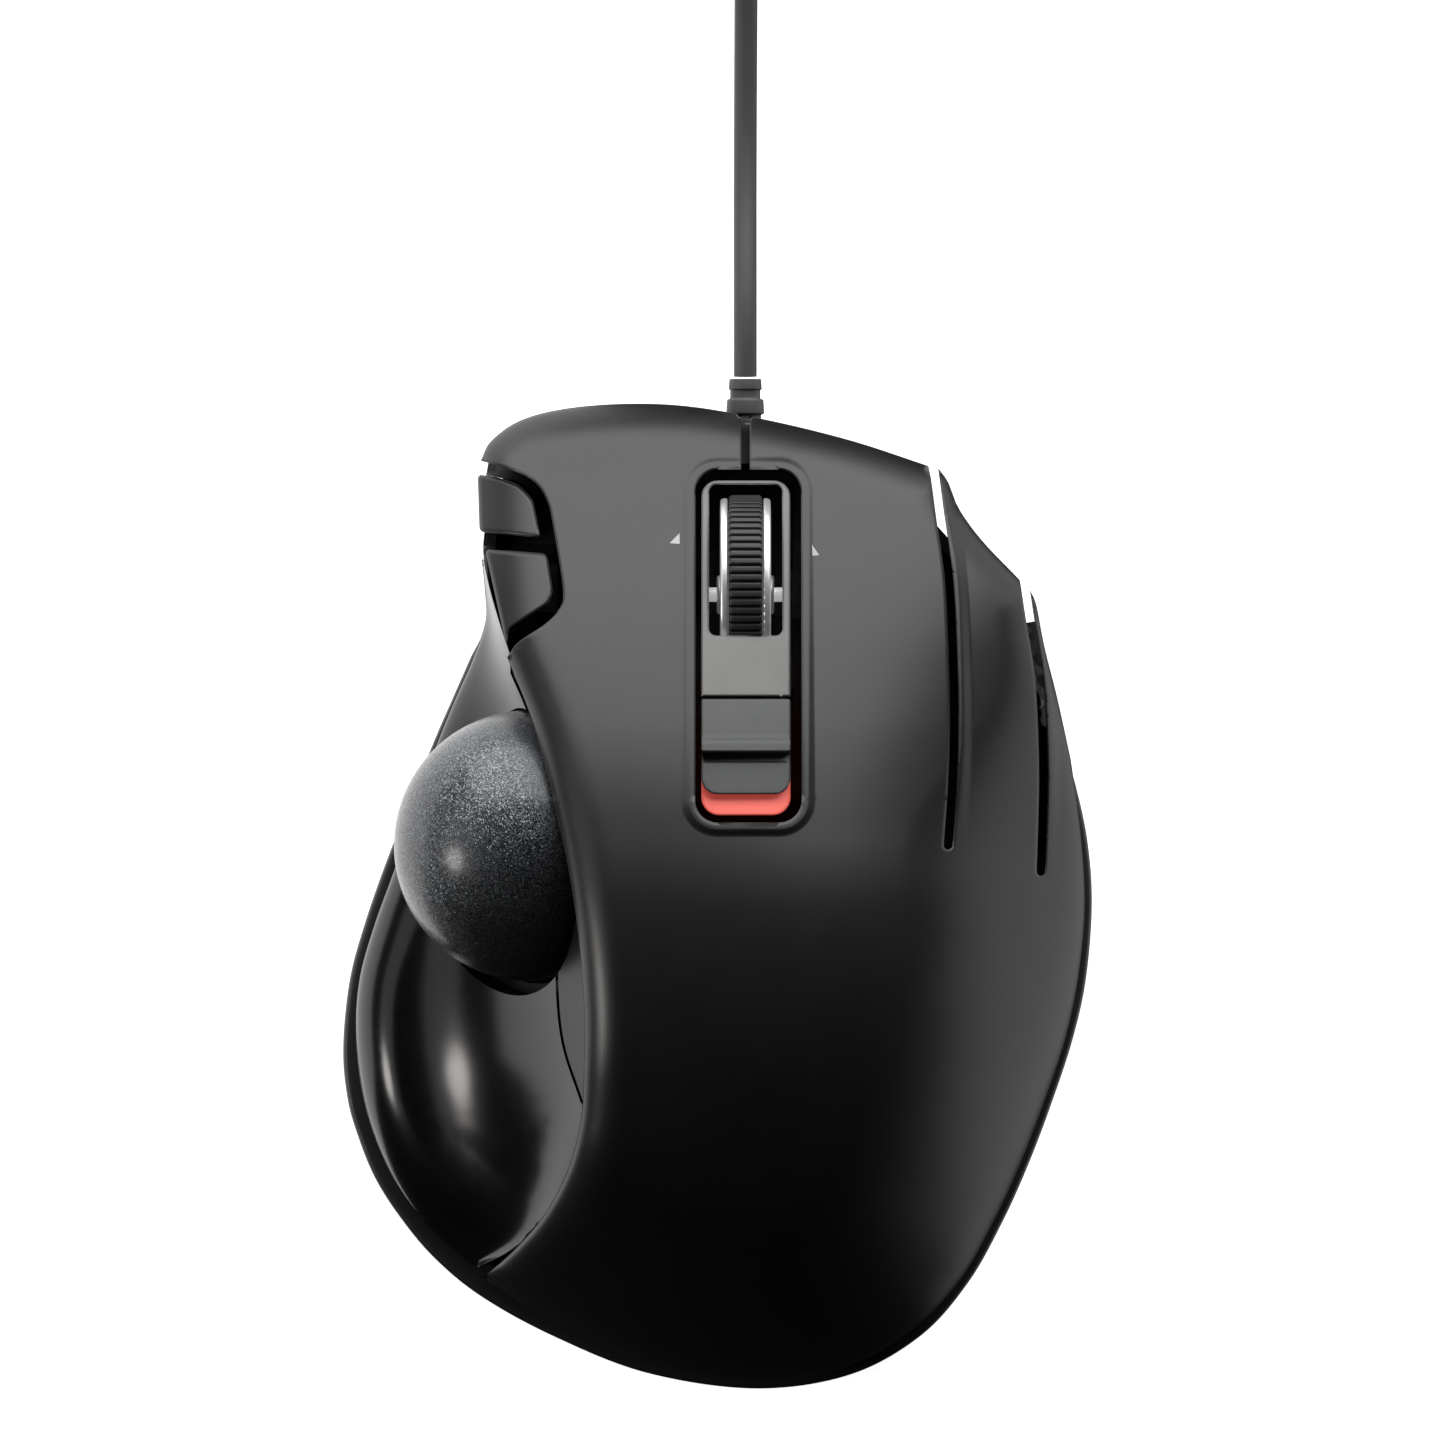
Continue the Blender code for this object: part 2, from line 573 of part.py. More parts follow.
def palm_cover_loop():
    """Clockwise from the hinge line at the seam: bay, slots and fins, right side, rear, seam."""
    at_seam = [[np.interp(HINGE_Y - GAP / 2, SEAM_EDGE[:, 1], SEAM_EDGE[:, 0]), HINGE_Y - GAP / 2]]
    bay_left = bay_corner(BAY_X[0] + BAY_CORNER, BAY_Y[0] + BAY_CORNER, 180)
    bay_right = bay_corner(BAY_X[1] - BAY_CORNER, BAY_Y[0] + BAY_CORNER, 270)
    bay_left[0, 1] = bay_right[-1, 1] = HINGE_Y - GAP / 2
    slot_1_left = slot_side(SLOT_1, -1, HINGE_Y - 1)
    joint = [[slot_1_left[0, 0], HINGE_Y - GAP / 2]]
    slot_1_right = slot_side(SLOT_1, 1)[::-1]
    slot_2_left = slot_side(SLOT_2, -1)
    slot_2_right = slot_side(SLOT_2, 1)[::-1]
    rear = smooth(COVER_SIDE, 3)[1:]
    seam = SEAM_EDGE[(SEAM_EDGE[:, 1] < HINGE_Y - 1)][1:]
    parts = [at_seam, bay_left, bay_right, joint, slot_1_left, slot_1_right, smooth(FIN_1_FRONT, 3)[1:]]
    parts += [slot_2_left, slot_2_right, smooth(FIN_2_FRONT, 3)[1:], rear, seam]
    return np.vstack(parts)[::-1]


# ---------------------------------------------------------------- shell pieces


def ball_space():
    """The room that every shell piece leaves round the ball, made on first use."""
    found = bpy.data.objects.get("ball_space")
    return found or sphere("ball_space", BALL_CENTRE, CUP_INSIDE + 0.1, rows=20, segments=40)


def under_cover(x, y, radius):
    """Where a post of this radius may end so that it just bites into the cover's underside."""
    angles = np.linspace(0, 2 * math.pi, 12)
    ring = np.stack([x + radius * np.cos(angles), y + radius * np.sin(angles)], 1)
    return float(cover_inside(ring).min()) + 0.8


def stem(button, name, x, y):
    """Joins a round post to a button's underside, reaching down to just above its switch."""
    low, radius = PLUNGER_TOP + GAP, 1.6
    top = under_cover(x, y, radius)
    post = rod(name, (x, y, (low + top) / 2), (0, 0, 1), radius, (top - low) / 2, segments=12)
    return combine(button, post, "UNION")


def make_palm_cover():
    cover = sheet(
        "palm_cover", palm_cover_loop(), cover_outside, cover_inside, "matte_black",
        rings=(0.6, 2.0, 4.0, 8.0), spacing=6.5,
    )
    combine(cover, ball_space())
    foot = 5.5
    for number, (x, y) in enumerate(SCREW_PLACES[:2], 1):
        top = under_cover(x, y, BOSS_RADIUS)
        at, half = (x, y, (top + foot) / 2), (top - foot) / 2
        post = rod(f"boss_{number}", at, (0, 0, 1), BOSS_RADIUS, half, segments=16)
        bore = rod(f"boss_bore_{number}", (x, y, 9.0), (0, 0, 1), BOSS_BORE_RADIUS, 6.0, segments=12)
        combine(cover, post, "UNION")
        combine(cover, bore)


def make_main_buttons():
    left = sheet(
        "left_button", left_button_loop(), cover_outside, cover_inside, "matte_black",
        rings=(0.6, 2.0, 4.5), spacing=7.0, origin=LEFT_HINGE,
    )
    stem(left, "left_stem", *LEFT_STEM)
    combine(left, ball_space())
    right = sheet(
        "right_button", right_button_loop(), cover_outside, cover_inside, "matte_black",
        rings=(0.6, 2.0, 4.5), spacing=7.0, origin=RIGHT_HINGE,
    )
    stem(right, "right_stem", *RIGHT_STEM)


def panel_loop():
    rim = PANEL_RIM_EDGE[::-1]
    inner = PANEL_INNER_EDGE[::-1]
    return np.vstack([inner[:-1], rim[1:-1]])


def surround_line():
    """Where the ball surround meets the thumb panel, front apex to rear apex."""
    return smooth(SURROUND, 3)


def make_thumb_panel():
    inner = PANEL_INNER_EDGE
    edge = surround_line()
    front = inner[inner[:, 1] > edge[0, 1] + 1]
    rear = inner[inner[:, 1] < edge[-1, 1] - 1]
    rim = PANEL_RIM_EDGE
    loop = np.vstack([rim[:-1], rear, edge[::-1], front[:-1]])
    panel = sheet(
        "thumb_panel", loop, panel_outside, panel_inside, "gloss_black",
        rings=(0.6, 2.0, 4.0), spacing=5.0,
    )
    combine(panel, ball_space())


def make_ball_surrounds():
    """The dark walls of the ball's recess, which show before and behind the ball under the ridge."""
    edge = moved(surround_line(), 0.35)
    inner = PANEL_INNER_EDGE
    band = inner[(inner[:, 1] > edge[-1, 1] + 1) & (inner[:, 1] < edge[0, 1] - 1)]
    for name, keep in (("front", lambda y: y > 12), ("rear", lambda y: y < 0)):
        line = edge[keep(edge[:, 1])]
        wall = band[keep(band[:, 1])]
        loop = np.vstack([line, wall])
        piece = sheet(
            f"ball_surround_{name}", loop, panel_outside, panel_inside, "matte_black", rings=(), spacing=4.0
        )
        combine(piece, ball_space())


def make_side_buttons():
    def underside(points):
        return side_button_height(points) - SIDE_BUTTON_DEPTH

    low = SIDE_PLUNGER_TOP + GAP
    for name, outline, hinge, post in (
        ("forward_button", FORWARD_OUTLINE, FORWARD_HINGE, FORWARD_STEM),
        ("back_button", BACK_OUTLINE, BACK_HINGE, BACK_STEM),
    ):
        loop = np.array(outline)[::-1]
        button = sheet(
            name, loop, side_button_height, underside, "matte_black", rings=(0.8,), spacing=3.0, origin=hinge
        )
        top = float(side_button_height(np.array([post]))[0]) - SIDE_BUTTON_DEPTH + 1.1
        pin = rod(f"{name}_stem", (*post, (top + low) / 2), (0, 0, 1), 1.0, (top - low) / 2, segments=10)
        combine(button, pin, "UNION")


def base_height(points):
    """The base's upper side: a rim, a floor inside it, and a standing wall round the front."""
    x, y = points[:, 0], points[:, 1]
    edge = distance(points, np.vstack([BASE_EDGE, BASE_EDGE[:1]]))
    rim = np.where(edge < 0.5, RIM_TOP - 0.9 * (1 - edge / 0.5), RIM_TOP)
    low = np.where(edge < RIM_WIDTH, rim, FLOOR_TOP)
    under_cover_lip = np.minimum(cover_inside(points) - 1.4, FRONT_WALL_TOP)
    under_button = np.minimum(side_button_height(points) - SIDE_BUTTON_DEPTH - 1.0, 14.5)
    wall = np.clip(np.where(x < -24, under_button, under_cover_lip), RIM_TOP, None)
    raised = np.where(x > 0, smoothstep(22, 24, y), smoothstep(43.2, 44.0, y))
    standing = np.where(edge < FRONT_WALL, wall, FLOOR_TOP)
    return low + (standing - low) * raised


def make_base_case():
    base = sheet(
        "base_case", BASE_EDGE, base_height, flat_at(BASE_BOTTOM), "dark_grey",
        rings=(0.55, 1.65, 1.75, 4.1, 4.3), spacing=14.0,
    )
    x, y, _ = BALL_CENTRE
    combine(base, rod("ejector_hole", (x, y, 2), (0, 0, 1), EJECTOR_RADIUS, 4, segments=24))
    for number, (x, y) in enumerate(SCREW_PLACES, 1):
        combine(base, rod(f"screw_hole_{number}", (x, y, 2), (0, 0, 1), SCREW_HOLE_RADIUS, 4, segments=16))
    combine(base, rod("cord_hole", EXIT_HOLE, (0, 1, 0), EXIT_HOLE_RADIUS, 3.0, segments=12))


def make_underside():
    """Feet, screws and a blank rating plate."""
    for number, (x, y, radius) in enumerate(FOOT_PLACES, 1):
        half = FOOT_HEIGHT / 2
        rod(f"foot_{number}", (x, y, half), (0, 0, 1), radius, half, "foot_grey", segments=20)
    for number, (x, y) in enumerate(SCREW_PLACES, 1):
        outline = [(0, 1.3), (2.2, 1.3), (2.2, 2.6), (1.2, 2.9), (1.2, 8.5), (0, 8.5)]
        turned(f"screw_{number}", outline, (x, y, 0), (0, 0, 1), "steel", segments=14)
    prism("rating_plate", rounded((-14, -30), (18, -12), 2.0), 0.55, FOOT_HEIGHT, "foot_grey")


# ---------------------------------------------------------------- ball and sensing


def cup_top(points):
    """How high the cup may reach: a tilted plane, and just under the thumb panel."""
    x = points[:, 0] - BALL_CENTRE[0]
    plane = BALL_CENTRE[2] + x * math.tan(CUP_TILT) - 1.0
    under = np.where(inside(points, panel_loop()), panel_inside(points), cover_inside(points))
    return np.minimum(plane, under - 0.6)


def make_ball_cup():
    x, y, z = BALL_CENTRE
    cup = sphere("ball_cup", BALL_CENTRE, CUP_OUTSIDE, "matte_black", rows=16, segments=32)
    combine(cup, sphere("cup_inside", BALL_CENTRE, CUP_INSIDE, rows=16, segments=32))
    angles = np.linspace(0, 2 * math.pi, 36, endpoint=False)
    ring = np.stack([x + 21 * np.cos(angles), y + 21 * np.sin(angles)], 1)
    keep = sheet("cup_keep", ring, cup_top, flat_at(0.5), rings=(1.2, 2.6, 5.0), spacing=3.0)
    combine(cup, keep, "INTERSECT")
    combine(cup, rod("cup_ejector", (x, y, z - 18), (0, 0, 1), EJECTOR_RADIUS, 4, segments=24))
    for number, way in enumerate(BEARING_WAYS, 1):
        spot = Vector(BALL_CENTRE) + Vector(way).normalized() * CUP_MIDDLE
        combine(cup, rod(f"bearing_hole_{number}", spot, way, BEARING_RADIUS + GAP, 2.5, segments=12))
        centre = Vector(BALL_CENTRE) + Vector(way).normalized() * (BALL_RADIUS + 0.2 + BEARING_RADIUS)
        sphere(f"support_bearing_{number}", centre, BEARING_RADIUS, "ruby", rows=8, segments=12)
    spot = Vector(BALL_CENTRE) + SENSOR_WAY * CUP_MIDDLE
    combine(cup, rod("sensor_window", spot, SENSOR_WAY, 2.6, 2.5, segments=16))


def make_sensor():
    lens_at = Vector(BALL_CENTRE) + SENSOR_WAY * 18.6
    rod("sensor_lens", lens_at, SENSOR_WAY, 2.2, 0.6, "clear_lens", segments=16)
    turn = Vector((0, 0, 1)).rotation_difference(SENSOR_WAY).to_matrix()
    for name, low, high, size, material in (
        ("ball_sensor", 19.7, 21.6, 3.6, "matte_black"), ("sensor_board", 21.9, 22.9, 4.6, "board_black"),
    ):
        square = ((-size, -size), (size, -size), (size, size), (-size, size))
        corners = [(a, b, c) for c in (low, high) for a, b in square]
        points = [tuple(turn @ Vector(c) + Vector(BALL_CENTRE)) for c in corners]
        faces = [(3, 2, 1, 0), (4, 5, 6, 7), (0, 1, 5, 4), (1, 2, 6, 5), (2, 3, 7, 6), (3, 0, 4, 7)]
        solid(name, points, faces, material)


# ---------------------------------------------------------------- wheel bay


def make_bezel():
    outline = rounded((STRIP_X[0], BEZEL_Y[0] - 4), (STRIP_X[1], BEZEL_Y[1]), 2.0)
    outline = [(x, max(y, BEZEL_Y[0])) for x, y in outline]
    loop = [outline[0]]
    for point in outline[1:]:
        if math.dist(point, loop[-1]) > 0.2:
            loop.append(point)
    fine = []
    for start, end in zip(loop, [*loop[1:], loop[0]]):
        count = max(1, round(math.dist(start, end) / 4))
        fine += [tuple(np.add(start, np.subtract(end, start) * k / count)) for k in range(count)]

    def top(points):
        return crown(points) - BEZEL_SINK

    def bottom(points):
        return crown(points) - BEZEL_DEPTH

    bezel = sheet("wheel_bezel", np.array(fine), top, bottom, "warm_grey", rings=(), spacing=4.0)
    window = prism("window", rounded((WINDOW_X[0], 34.0), (WINDOW_X[1], WINDOW_FRONT), 0.8), 5, 60)
    combine(bezel, window)
    half = (WINDOW_X[1] - WINDOW_X[0]) / 2
    combine(bezel, rod("wheel_room", WHEEL_CENTRE, (1, 0, 0), WHEEL_RADIUS + 0.6, half, segments=48))


def slider_outline(low, high, radius):
    """The slider strip's outline, with round corners at its rear only."""
    found = [(STRIP_X[1], high), (STRIP_X[0], high)]
    for quarter, x in ((2, STRIP_X[0] + radius), (3, STRIP_X[1] - radius)):
        for step in range(5):
            angle = (quarter + step / 4) * math.pi / 2
            found.append((x + radius * math.cos(angle), low + radius + radius * math.sin(angle)))
    return found


def slider_height(points):
    """The slider's top: a flat pad, a raised ridge, a groove, and a lower pad at the rear."""
    y = points[:, 1]
    ridge = 0.9 * np.clip(1 - np.abs(y - 19.0) / 1.2, 0, 1)
    groove = -0.9 * smoothstep(18.5, 18.2, y) * smoothstep(16.9, 17.2, y)
    return crown(points) - 0.6 + ridge + groove


def make_speed_slider():
    loop = slider_outline(SLIDER_Y[0], SLIDER_Y[1], SLIDER_CORNER)
    rows = [20.4, 19.6, 19.0, 18.4, 18.1, 17.3, 17.0]
    left = [(STRIP_X[0], y) for y in rows]
    right = [(STRIP_X[1], y) for y in reversed(rows)]
    loop = np.array([*loop[:2], *left, *loop[2:], *right])
    middle = (MIDDLE_X, 19.0, 40.5)
    sheet(
        "speed_slider", loop, slider_height, lambda p: crown(p) - SLIDER_DEPTH, "dark_grey",
        rings=(), spacing=3.5, origin=middle,
    )
    plate = np.array(slider_outline(10.5, 24.0, 2.4))
    sheet("speed_marker", plate, lambda p: crown(p) - 2.5, lambda p: crown(p) - 3.6, "coral", spacing=5.0)


def make_wheel():
    hub = [(AXLE_RADIUS + GAP, -3.6), (2.4, -3.6), (2.6, -1.4), (9.6, -1.4), (10.2, -3.2), (12.1, -3.1)]
    hub += [(12.1, -2.35), (10.3, -2.3)]
    hub += [(r, -a) for r, a in reversed(hub)]
    turned("scroll_hub", hub, WHEEL_CENTRE, (1, 0, 0), "chrome", segments=36)
    tyre = [(10.6, -2.0), (12.2, -2.0), (12.5, -1.7), (12.5, 1.7), (12.2, 2.0), (10.6, 2.0)]
    turned("scroll_tyre", tyre, WHEEL_CENTRE, (1, 0, 0), "rubber", segments=48)
    rod("scroll_axle", WHEEL_CENTRE, (1, 0, 0), AXLE_RADIUS, AXLE_HALF, "steel", segments=12)


def make_wheel_cradle():
    """Two arms carry the axle, on a bar with a pivot pin at each end."""
    x, y, z = WHEEL_CENTRE
    pivot = (x, y, TILT_Z)
    outline = [(-5.5, 7.6), (5.5, 7.6), (5.5, 24.0), (4.65, 24.0), (4.65, 8.6), (-4.65, 8.6)]
    outline += [(-4.65, 24.0), (-5.5, 24.0)]
    count = len(outline)
    points = [(x + a, y + side * 2.6, b) for side in (-1, 1) for a, b in outline]
    sides = [(i, (i + 1) % count, (i + 1) % count + count, i + count) for i in range(count)]
    faces = [range(count), range(2 * count - 1, count - 1, -1), *sides]
    cradle = solid("wheel_cradle", points, faces, "matte_black", pivot)
    combine(cradle, box("cradle_bar", (x - 2.5, y - 13.8, 7.65), (x + 2.5, y + 13.8, 8.55)), "UNION")
    for side, name in ((1, "front"), (-1, "rear")):
        low, high = sorted((y + side * 13.0, y + side * 13.75))
        combine(cradle, box(f"cradle_{name}_ear", (x - 2.45, low, 8.0), (x + 2.45, high, 13.6)), "UNION")
        pin = rod(f"cradle_{name}_pin", (x, y + side * 14.3, TILT_Z), (0, 1, 0), 0.8, 0.8, segments=10)
        combine(cradle, pin, "UNION")
    combine(cradle, rod("axle_bore", WHEEL_CENTRE, (1, 0, 0), AXLE_RADIUS + GAP, 8, segments=12))


def make_wheel_frame():
    """A ring round the cradle that carries its pivots and sinks when the wheel is pressed."""
    x, y, _ = WHEEL_CENTRE
    frame = box("wheel_frame", (x - 7.4, y - 15.6, 9.0), (x + 7.4, y + 15.6, 14.0), "matte_black")
    combine(frame, box("frame_opening", (x - 6.1, y - 14.1, 5), (x + 6.1, y + 14.1, 20)))
    combine(frame, rod("pivot_bore", (x, y, TILT_Z), (0, 1, 0), 1.1, 20, segments=12))
    for side, name in ((-1, "left"), (1, "right")):
        low, high = sorted((x + side * 6.3, x + side * 8.6))
        box(f"tilt_switch_{name}", (low, y - 3, 14.3), (high, y + 3, 18.3), "dark_grey")
    box("scroll_encoder", (x + 5.8, y - 3, 19.6), (x + 7.9, y + 3, 24.0), "board_black")


# ---------------------------------------------------------------- electronics


def make_boards():
    outline = [(-13, 12), (20, 12), (20, 46.5), (8, 51.2), (2, 53.4), (-13, 54.2)]
    prism("main_board", outline, BOARD_BOTTOM, BOARD_TOP, "board_black")
    box("controller_chip", (-1, 13.5, BOARD_TOP + GAP), (7, 21.5, 7.6), "matte_black")
    box("cord_connector", (14, 24, BOARD_TOP + GAP), (19, 33, 11.0), "white_plastic")
    box("side_board", (-26.0, 35.0, 6.6), (-19.9, 50.0, 7.8), "board_black")


def make_switches():
    """Each switch is a body with a plunger that the button above it presses down."""
    on_board = BOARD_TOP + GAP
    for name, x, y, half_x, front, rear, low, high, top, post in (
        ("left", *LEFT_STEM, 2.9, 3.4, 9.4, on_board, 12.8, PLUNGER_TOP, LEFT_STEM[0]),
        ("right", *RIGHT_STEM, 2.9, 3.4, 9.0, on_board, 12.8, PLUNGER_TOP, RIGHT_STEM[0]),
        ("forward", -22.8, FORWARD_STEM[1], 3.0, 2.8, 2.8, 8.1, 10.4, SIDE_PLUNGER_TOP, FORWARD_STEM[0]),
        ("back", -23.2, BACK_STEM[1], 3.0, 3.0, 3.0, 8.1, 10.4, SIDE_PLUNGER_TOP, BACK_STEM[0]),
        ("middle", MIDDLE_X, 53.3, 2.4, 1.15, 1.25, on_board, 7.3, 8.7, MIDDLE_X),
    ):
        body = box(f"{name}_switch", (x - half_x, y - rear, low), (x + half_x, y + front, high), "dark_grey")
        combine(body, rod(f"{name}_well", (post, y, high), (0, 0, 1), 1.05, 0.8, segments=10))
        foot = high - PLUNGER_SINK
        at, half = (post, y, (foot + top) / 2), (top - foot) / 2
        rod(f"{name}_plunger", at, (0, 0, 1), 0.8, half, "white_plastic", segments=10)


# ---------------------------------------------------------------- cord


def make_strain_relief():
    outline = [
        (1.75, 0.0), (3.0, 0.0), (3.0, 0.9), (2.0, 1.1), (2.0, 2.0), (2.4, 2.1), (2.3, 3.9),
        (1.9, 4.0), (1.9, 5.1), (2.1, 5.2), (2.0, 6.5), (1.75, 6.5),
    ]
    turned("strain_relief", outline, BOOT_START, (0, 1, 0), "rubber", segments=16)


def make_cord():
    tube("cord_run", CORD_RUN, CORD_RADIUS, "cord_grey")
    low, high = COIL_MIDDLE - COIL_WIDTH / 2, COIL_MIDDLE + COIL_WIDTH / 2
    outline = [(low, 0.05), (high, 0.05), (high, COIL_HEIGHT), (low, COIL_HEIGHT)]
    turned("cord_coil", outline, (*COIL_CENTRE, 0), (0, 0, 1), "cord_grey", segments=40)
    x = COIL_CENTRE[0] - COIL_MIDDLE
    y, reach = COIL_CENTRE[1], COIL_WIDTH / 2 + 0.5
    low, high = (x - reach - 0.7, y - 2, 0.0), (x + reach + 0.9, y + 2, COIL_HEIGHT + 1.3)
    tie = box("cord_tie", low, high, "rubber")
    space = (x - reach + 0.1, y - 5, -0.5), (x + reach + 0.1, y + 5, COIL_HEIGHT + 0.5)
    combine(tie, box("tie_space", *space))
    tube("cord_tail", CORD_TAIL, CORD_RADIUS, "cord_grey")


def make_plug():
    x, z = PLUG_AXIS
    outline = rounded((x - 7.8, z - 3.8), (x + 7.8, z + 3.8), 1.6, 3)
    body = prism("plug_body", outline, PLUG_FACE, PLUG_BACK - PLUG_BOOT, "rubber")
    turn = Matrix(((1, 0, 0, 0), (0, 0, 1, 0), (0, 1, 0, 0), (0, 0, 0, 1)))
    body.data.transform(turn)
    body.data.flip_normals()
    boot = [(0, 3), (2.9, 3), (2.2, -PLUG_BOOT), (0, -PLUG_BOOT)]
    boot = turned("plug_boot", boot, (x, PLUG_BACK - PLUG_BOOT, z), (0, -1, 0), segments=14)
    combine(body, boot, "UNION")
    shell = box("plug_shell", (x - 6, PLUG_TIP, z - 2.25), (x + 6, PLUG_FACE - GAP, z + 2.25), "steel")
    space = (x - 5.7, PLUG_TIP - 1, z - 1.95), (x + 5.7, PLUG_FACE - 1.2, z + 1.95)
    combine(shell, box("shell_space", *space))
    tongue = (x - 5.3, PLUG_TIP + 0.6, z - 1.6), (x + 5.3, PLUG_FACE - 1.6, z + 0.2)
    box("plug_tongue", *tongue, "white_plastic")


def main():
    for existing in list(bpy.data.objects):
        bpy.data.objects.remove(existing)
    make_base_case()
    make_underside()
    make_palm_cover()
    make_main_buttons()
    make_thumb_panel()
    make_ball_surrounds()
    make_side_buttons()
    sphere("trackball", BALL_CENTRE, BALL_RADIUS, "ball_black", rows=18, segments=36)
    make_ball_cup()
    make_sensor()
    make_bezel()
    make_speed_slider()
    make_wheel()
    make_wheel_cradle()
    make_wheel_frame()
    make_boards()
    make_switches()
    make_strain_relief()
    make_cord()
    make_plug()


main()
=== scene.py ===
import math

import bmesh
import bpy
import numpy as np
from mathutils import Matrix, Vector
from mathutils.geometry import delaunay_2d_cdt


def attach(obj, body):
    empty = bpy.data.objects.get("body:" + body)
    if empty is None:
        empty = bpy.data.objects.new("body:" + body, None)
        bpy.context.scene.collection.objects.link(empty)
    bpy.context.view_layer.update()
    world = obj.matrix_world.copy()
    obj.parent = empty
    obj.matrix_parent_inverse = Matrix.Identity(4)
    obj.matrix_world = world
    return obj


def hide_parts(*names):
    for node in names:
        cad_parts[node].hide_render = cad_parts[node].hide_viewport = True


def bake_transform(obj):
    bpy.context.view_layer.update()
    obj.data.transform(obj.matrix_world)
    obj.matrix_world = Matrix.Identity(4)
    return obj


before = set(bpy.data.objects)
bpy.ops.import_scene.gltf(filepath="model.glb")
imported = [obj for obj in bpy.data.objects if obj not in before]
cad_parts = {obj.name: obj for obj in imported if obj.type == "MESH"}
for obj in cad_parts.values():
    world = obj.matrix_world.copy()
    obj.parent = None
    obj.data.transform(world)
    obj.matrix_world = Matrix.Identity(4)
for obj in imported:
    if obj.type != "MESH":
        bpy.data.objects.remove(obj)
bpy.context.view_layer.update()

MM = 0.001

# ---- camera

FRAME_WIDTH = 180.7
FRAME_MIDDLE_Y = 22.67
CAMERA_PLANE = 14.0
LENS, SENSOR = 500.0, 36.0


def linked(name, data):
    """A new object with this data, in the scene."""
    made = bpy.data.objects.new(name, data)
    bpy.context.scene.collection.objects.link(made)
    return made


def make_camera():
    """Straight above the mouse, with a long lens."""
    camera = bpy.data.cameras.new("camera")
    camera.lens, camera.sensor_width, camera.clip_end = LENS, SENSOR, 10
    placed = linked("camera", camera)
    height = FRAME_WIDTH * LENS / SENSOR + CAMERA_PLANE
    placed.location = Vector((0, FRAME_MIDDLE_Y, height)) * MM
    bpy.context.scene.camera = placed


make_camera()

# ---- curves and heights

# The crown of the cover, front to rear along its ridge, as (y, z), and how it falls to the sides
RIDGE_X = -10.0
RIDGE = [
    (-66, 21), (-60, 24), (-50, 30.5), (-40, 37.5), (-30, 43.0), (-20, 46.6), (-10, 47.9),
    (0, 47.3), (10, 44.9), (20, 41.4), (30, 36.8), (38, 32.5), (46, 27.6), (54, 22.4), (62, 17.2),
    (68, 13.5),
]
SIDE_FALL, SIDE_REACH, FRONT_FALL_SHARE = 30.0, 57.0, 0.62
LIP_HEIGHT, LIP_RADIUS, SKIRT_RADIUS = 5.5, 6.0, 24.0
RIDGE_LIP, RIDGE_RADIUS = 4.6, 6.0
WALL = 2.0
SHELL_BOTTOM, RIM_TOP, FLOOR_TOP, BASE_BOTTOM = 4.2, 3.9, 3.1, 1.1

# Outlines, as (x, y)
COVER_FRONT = [
    (-29.8, 55.0), (-28.5, 57.5), (-24.8, 60.1), (-19.0, 61.6), (-11.0, 62.2), (-3.0, 61.8),
    (7.0, 60.0), (17.1, 57.5), (26.6, 54.4),
]
FIN_1_FRONT = [(28.0, 53.9), (29.1, 52.3), (30.5, 48.9), (33.4, 44.9), (38.1, 40.0)]
FIN_2_FRONT = [(39.4, 38.7), (40.2, 36.8), (41.2, 31.6), (42.9, 24.9), (44.6, 17.3)]
COVER_SIDE = [
    (44.6, 17.3), (45.9, 8.0), (46.4, -1.0), (45.6, -10.0), (43.9, -18.0), (41.4, -25.5),
    (38.5, -33.1), (35.1, -40.6), (30.8, -48.2), (24.8, -54.6), (16.2, -59.4), (4.7, -61.1),
    (-7.1, -59.4), (-16.3, -55.9), (-24.0, -51.8), (-29.5, -47.9),
]
SEAM = [
    (-29.5, -47.9), (-25.6, -44.3), (-21.7, -39.6), (-18.6, -33.6), (-17.0, -27.2), (-16.6, -20.0),
    (-16.6, -13.3), (-17.3, -4.5), (-18.5, 3.5), (-19.9, 10.0), (-22.7, 21.0), (-26.3, 30.2),
]
NOTCH = [
    (-26.3, 30.2), (-24.9, 32.1), (-21.6, 34.3), (-19.8, 36.2), (-19.3, 38.6), (-20.6, 46.8),
    (-21.4, 50.0), (-23.0, 52.3), (-25.7, 53.7), (-29.8, 55.0),
]
PANEL_RIM = [
    (-29.8, 42.8), (-29.4, 38.9), (-29.3, 34.9), (-31.0, 29.9), (-33.2, 24.9), (-35.3, 19.8),
    (-38.0, 12.5), (-40.6, 4.2), (-43.3, -3.3), (-45.2, -10.1), (-45.7, -16.8), (-45.0, -24.1),
    (-43.3, -30.4), (-40.6, -36.2), (-36.6, -41.6), (-30.7, -46.8),
]
PANEL_TIP = (-30.2, -46.7)
BUTTON_FOOT = [(-29.6, 43.0), (-28.7, 39.0), (-27.5, 35.0), (-26.0, 30.6)]
SURROUND = [
    (-26.0, 28.2), (-23.6, 22.5), (-21.0, 13.0), (-19.9, 4.0), (-20.3, -8.0), (-19.6, -17.5),
    (-17.1, -25.4),
]
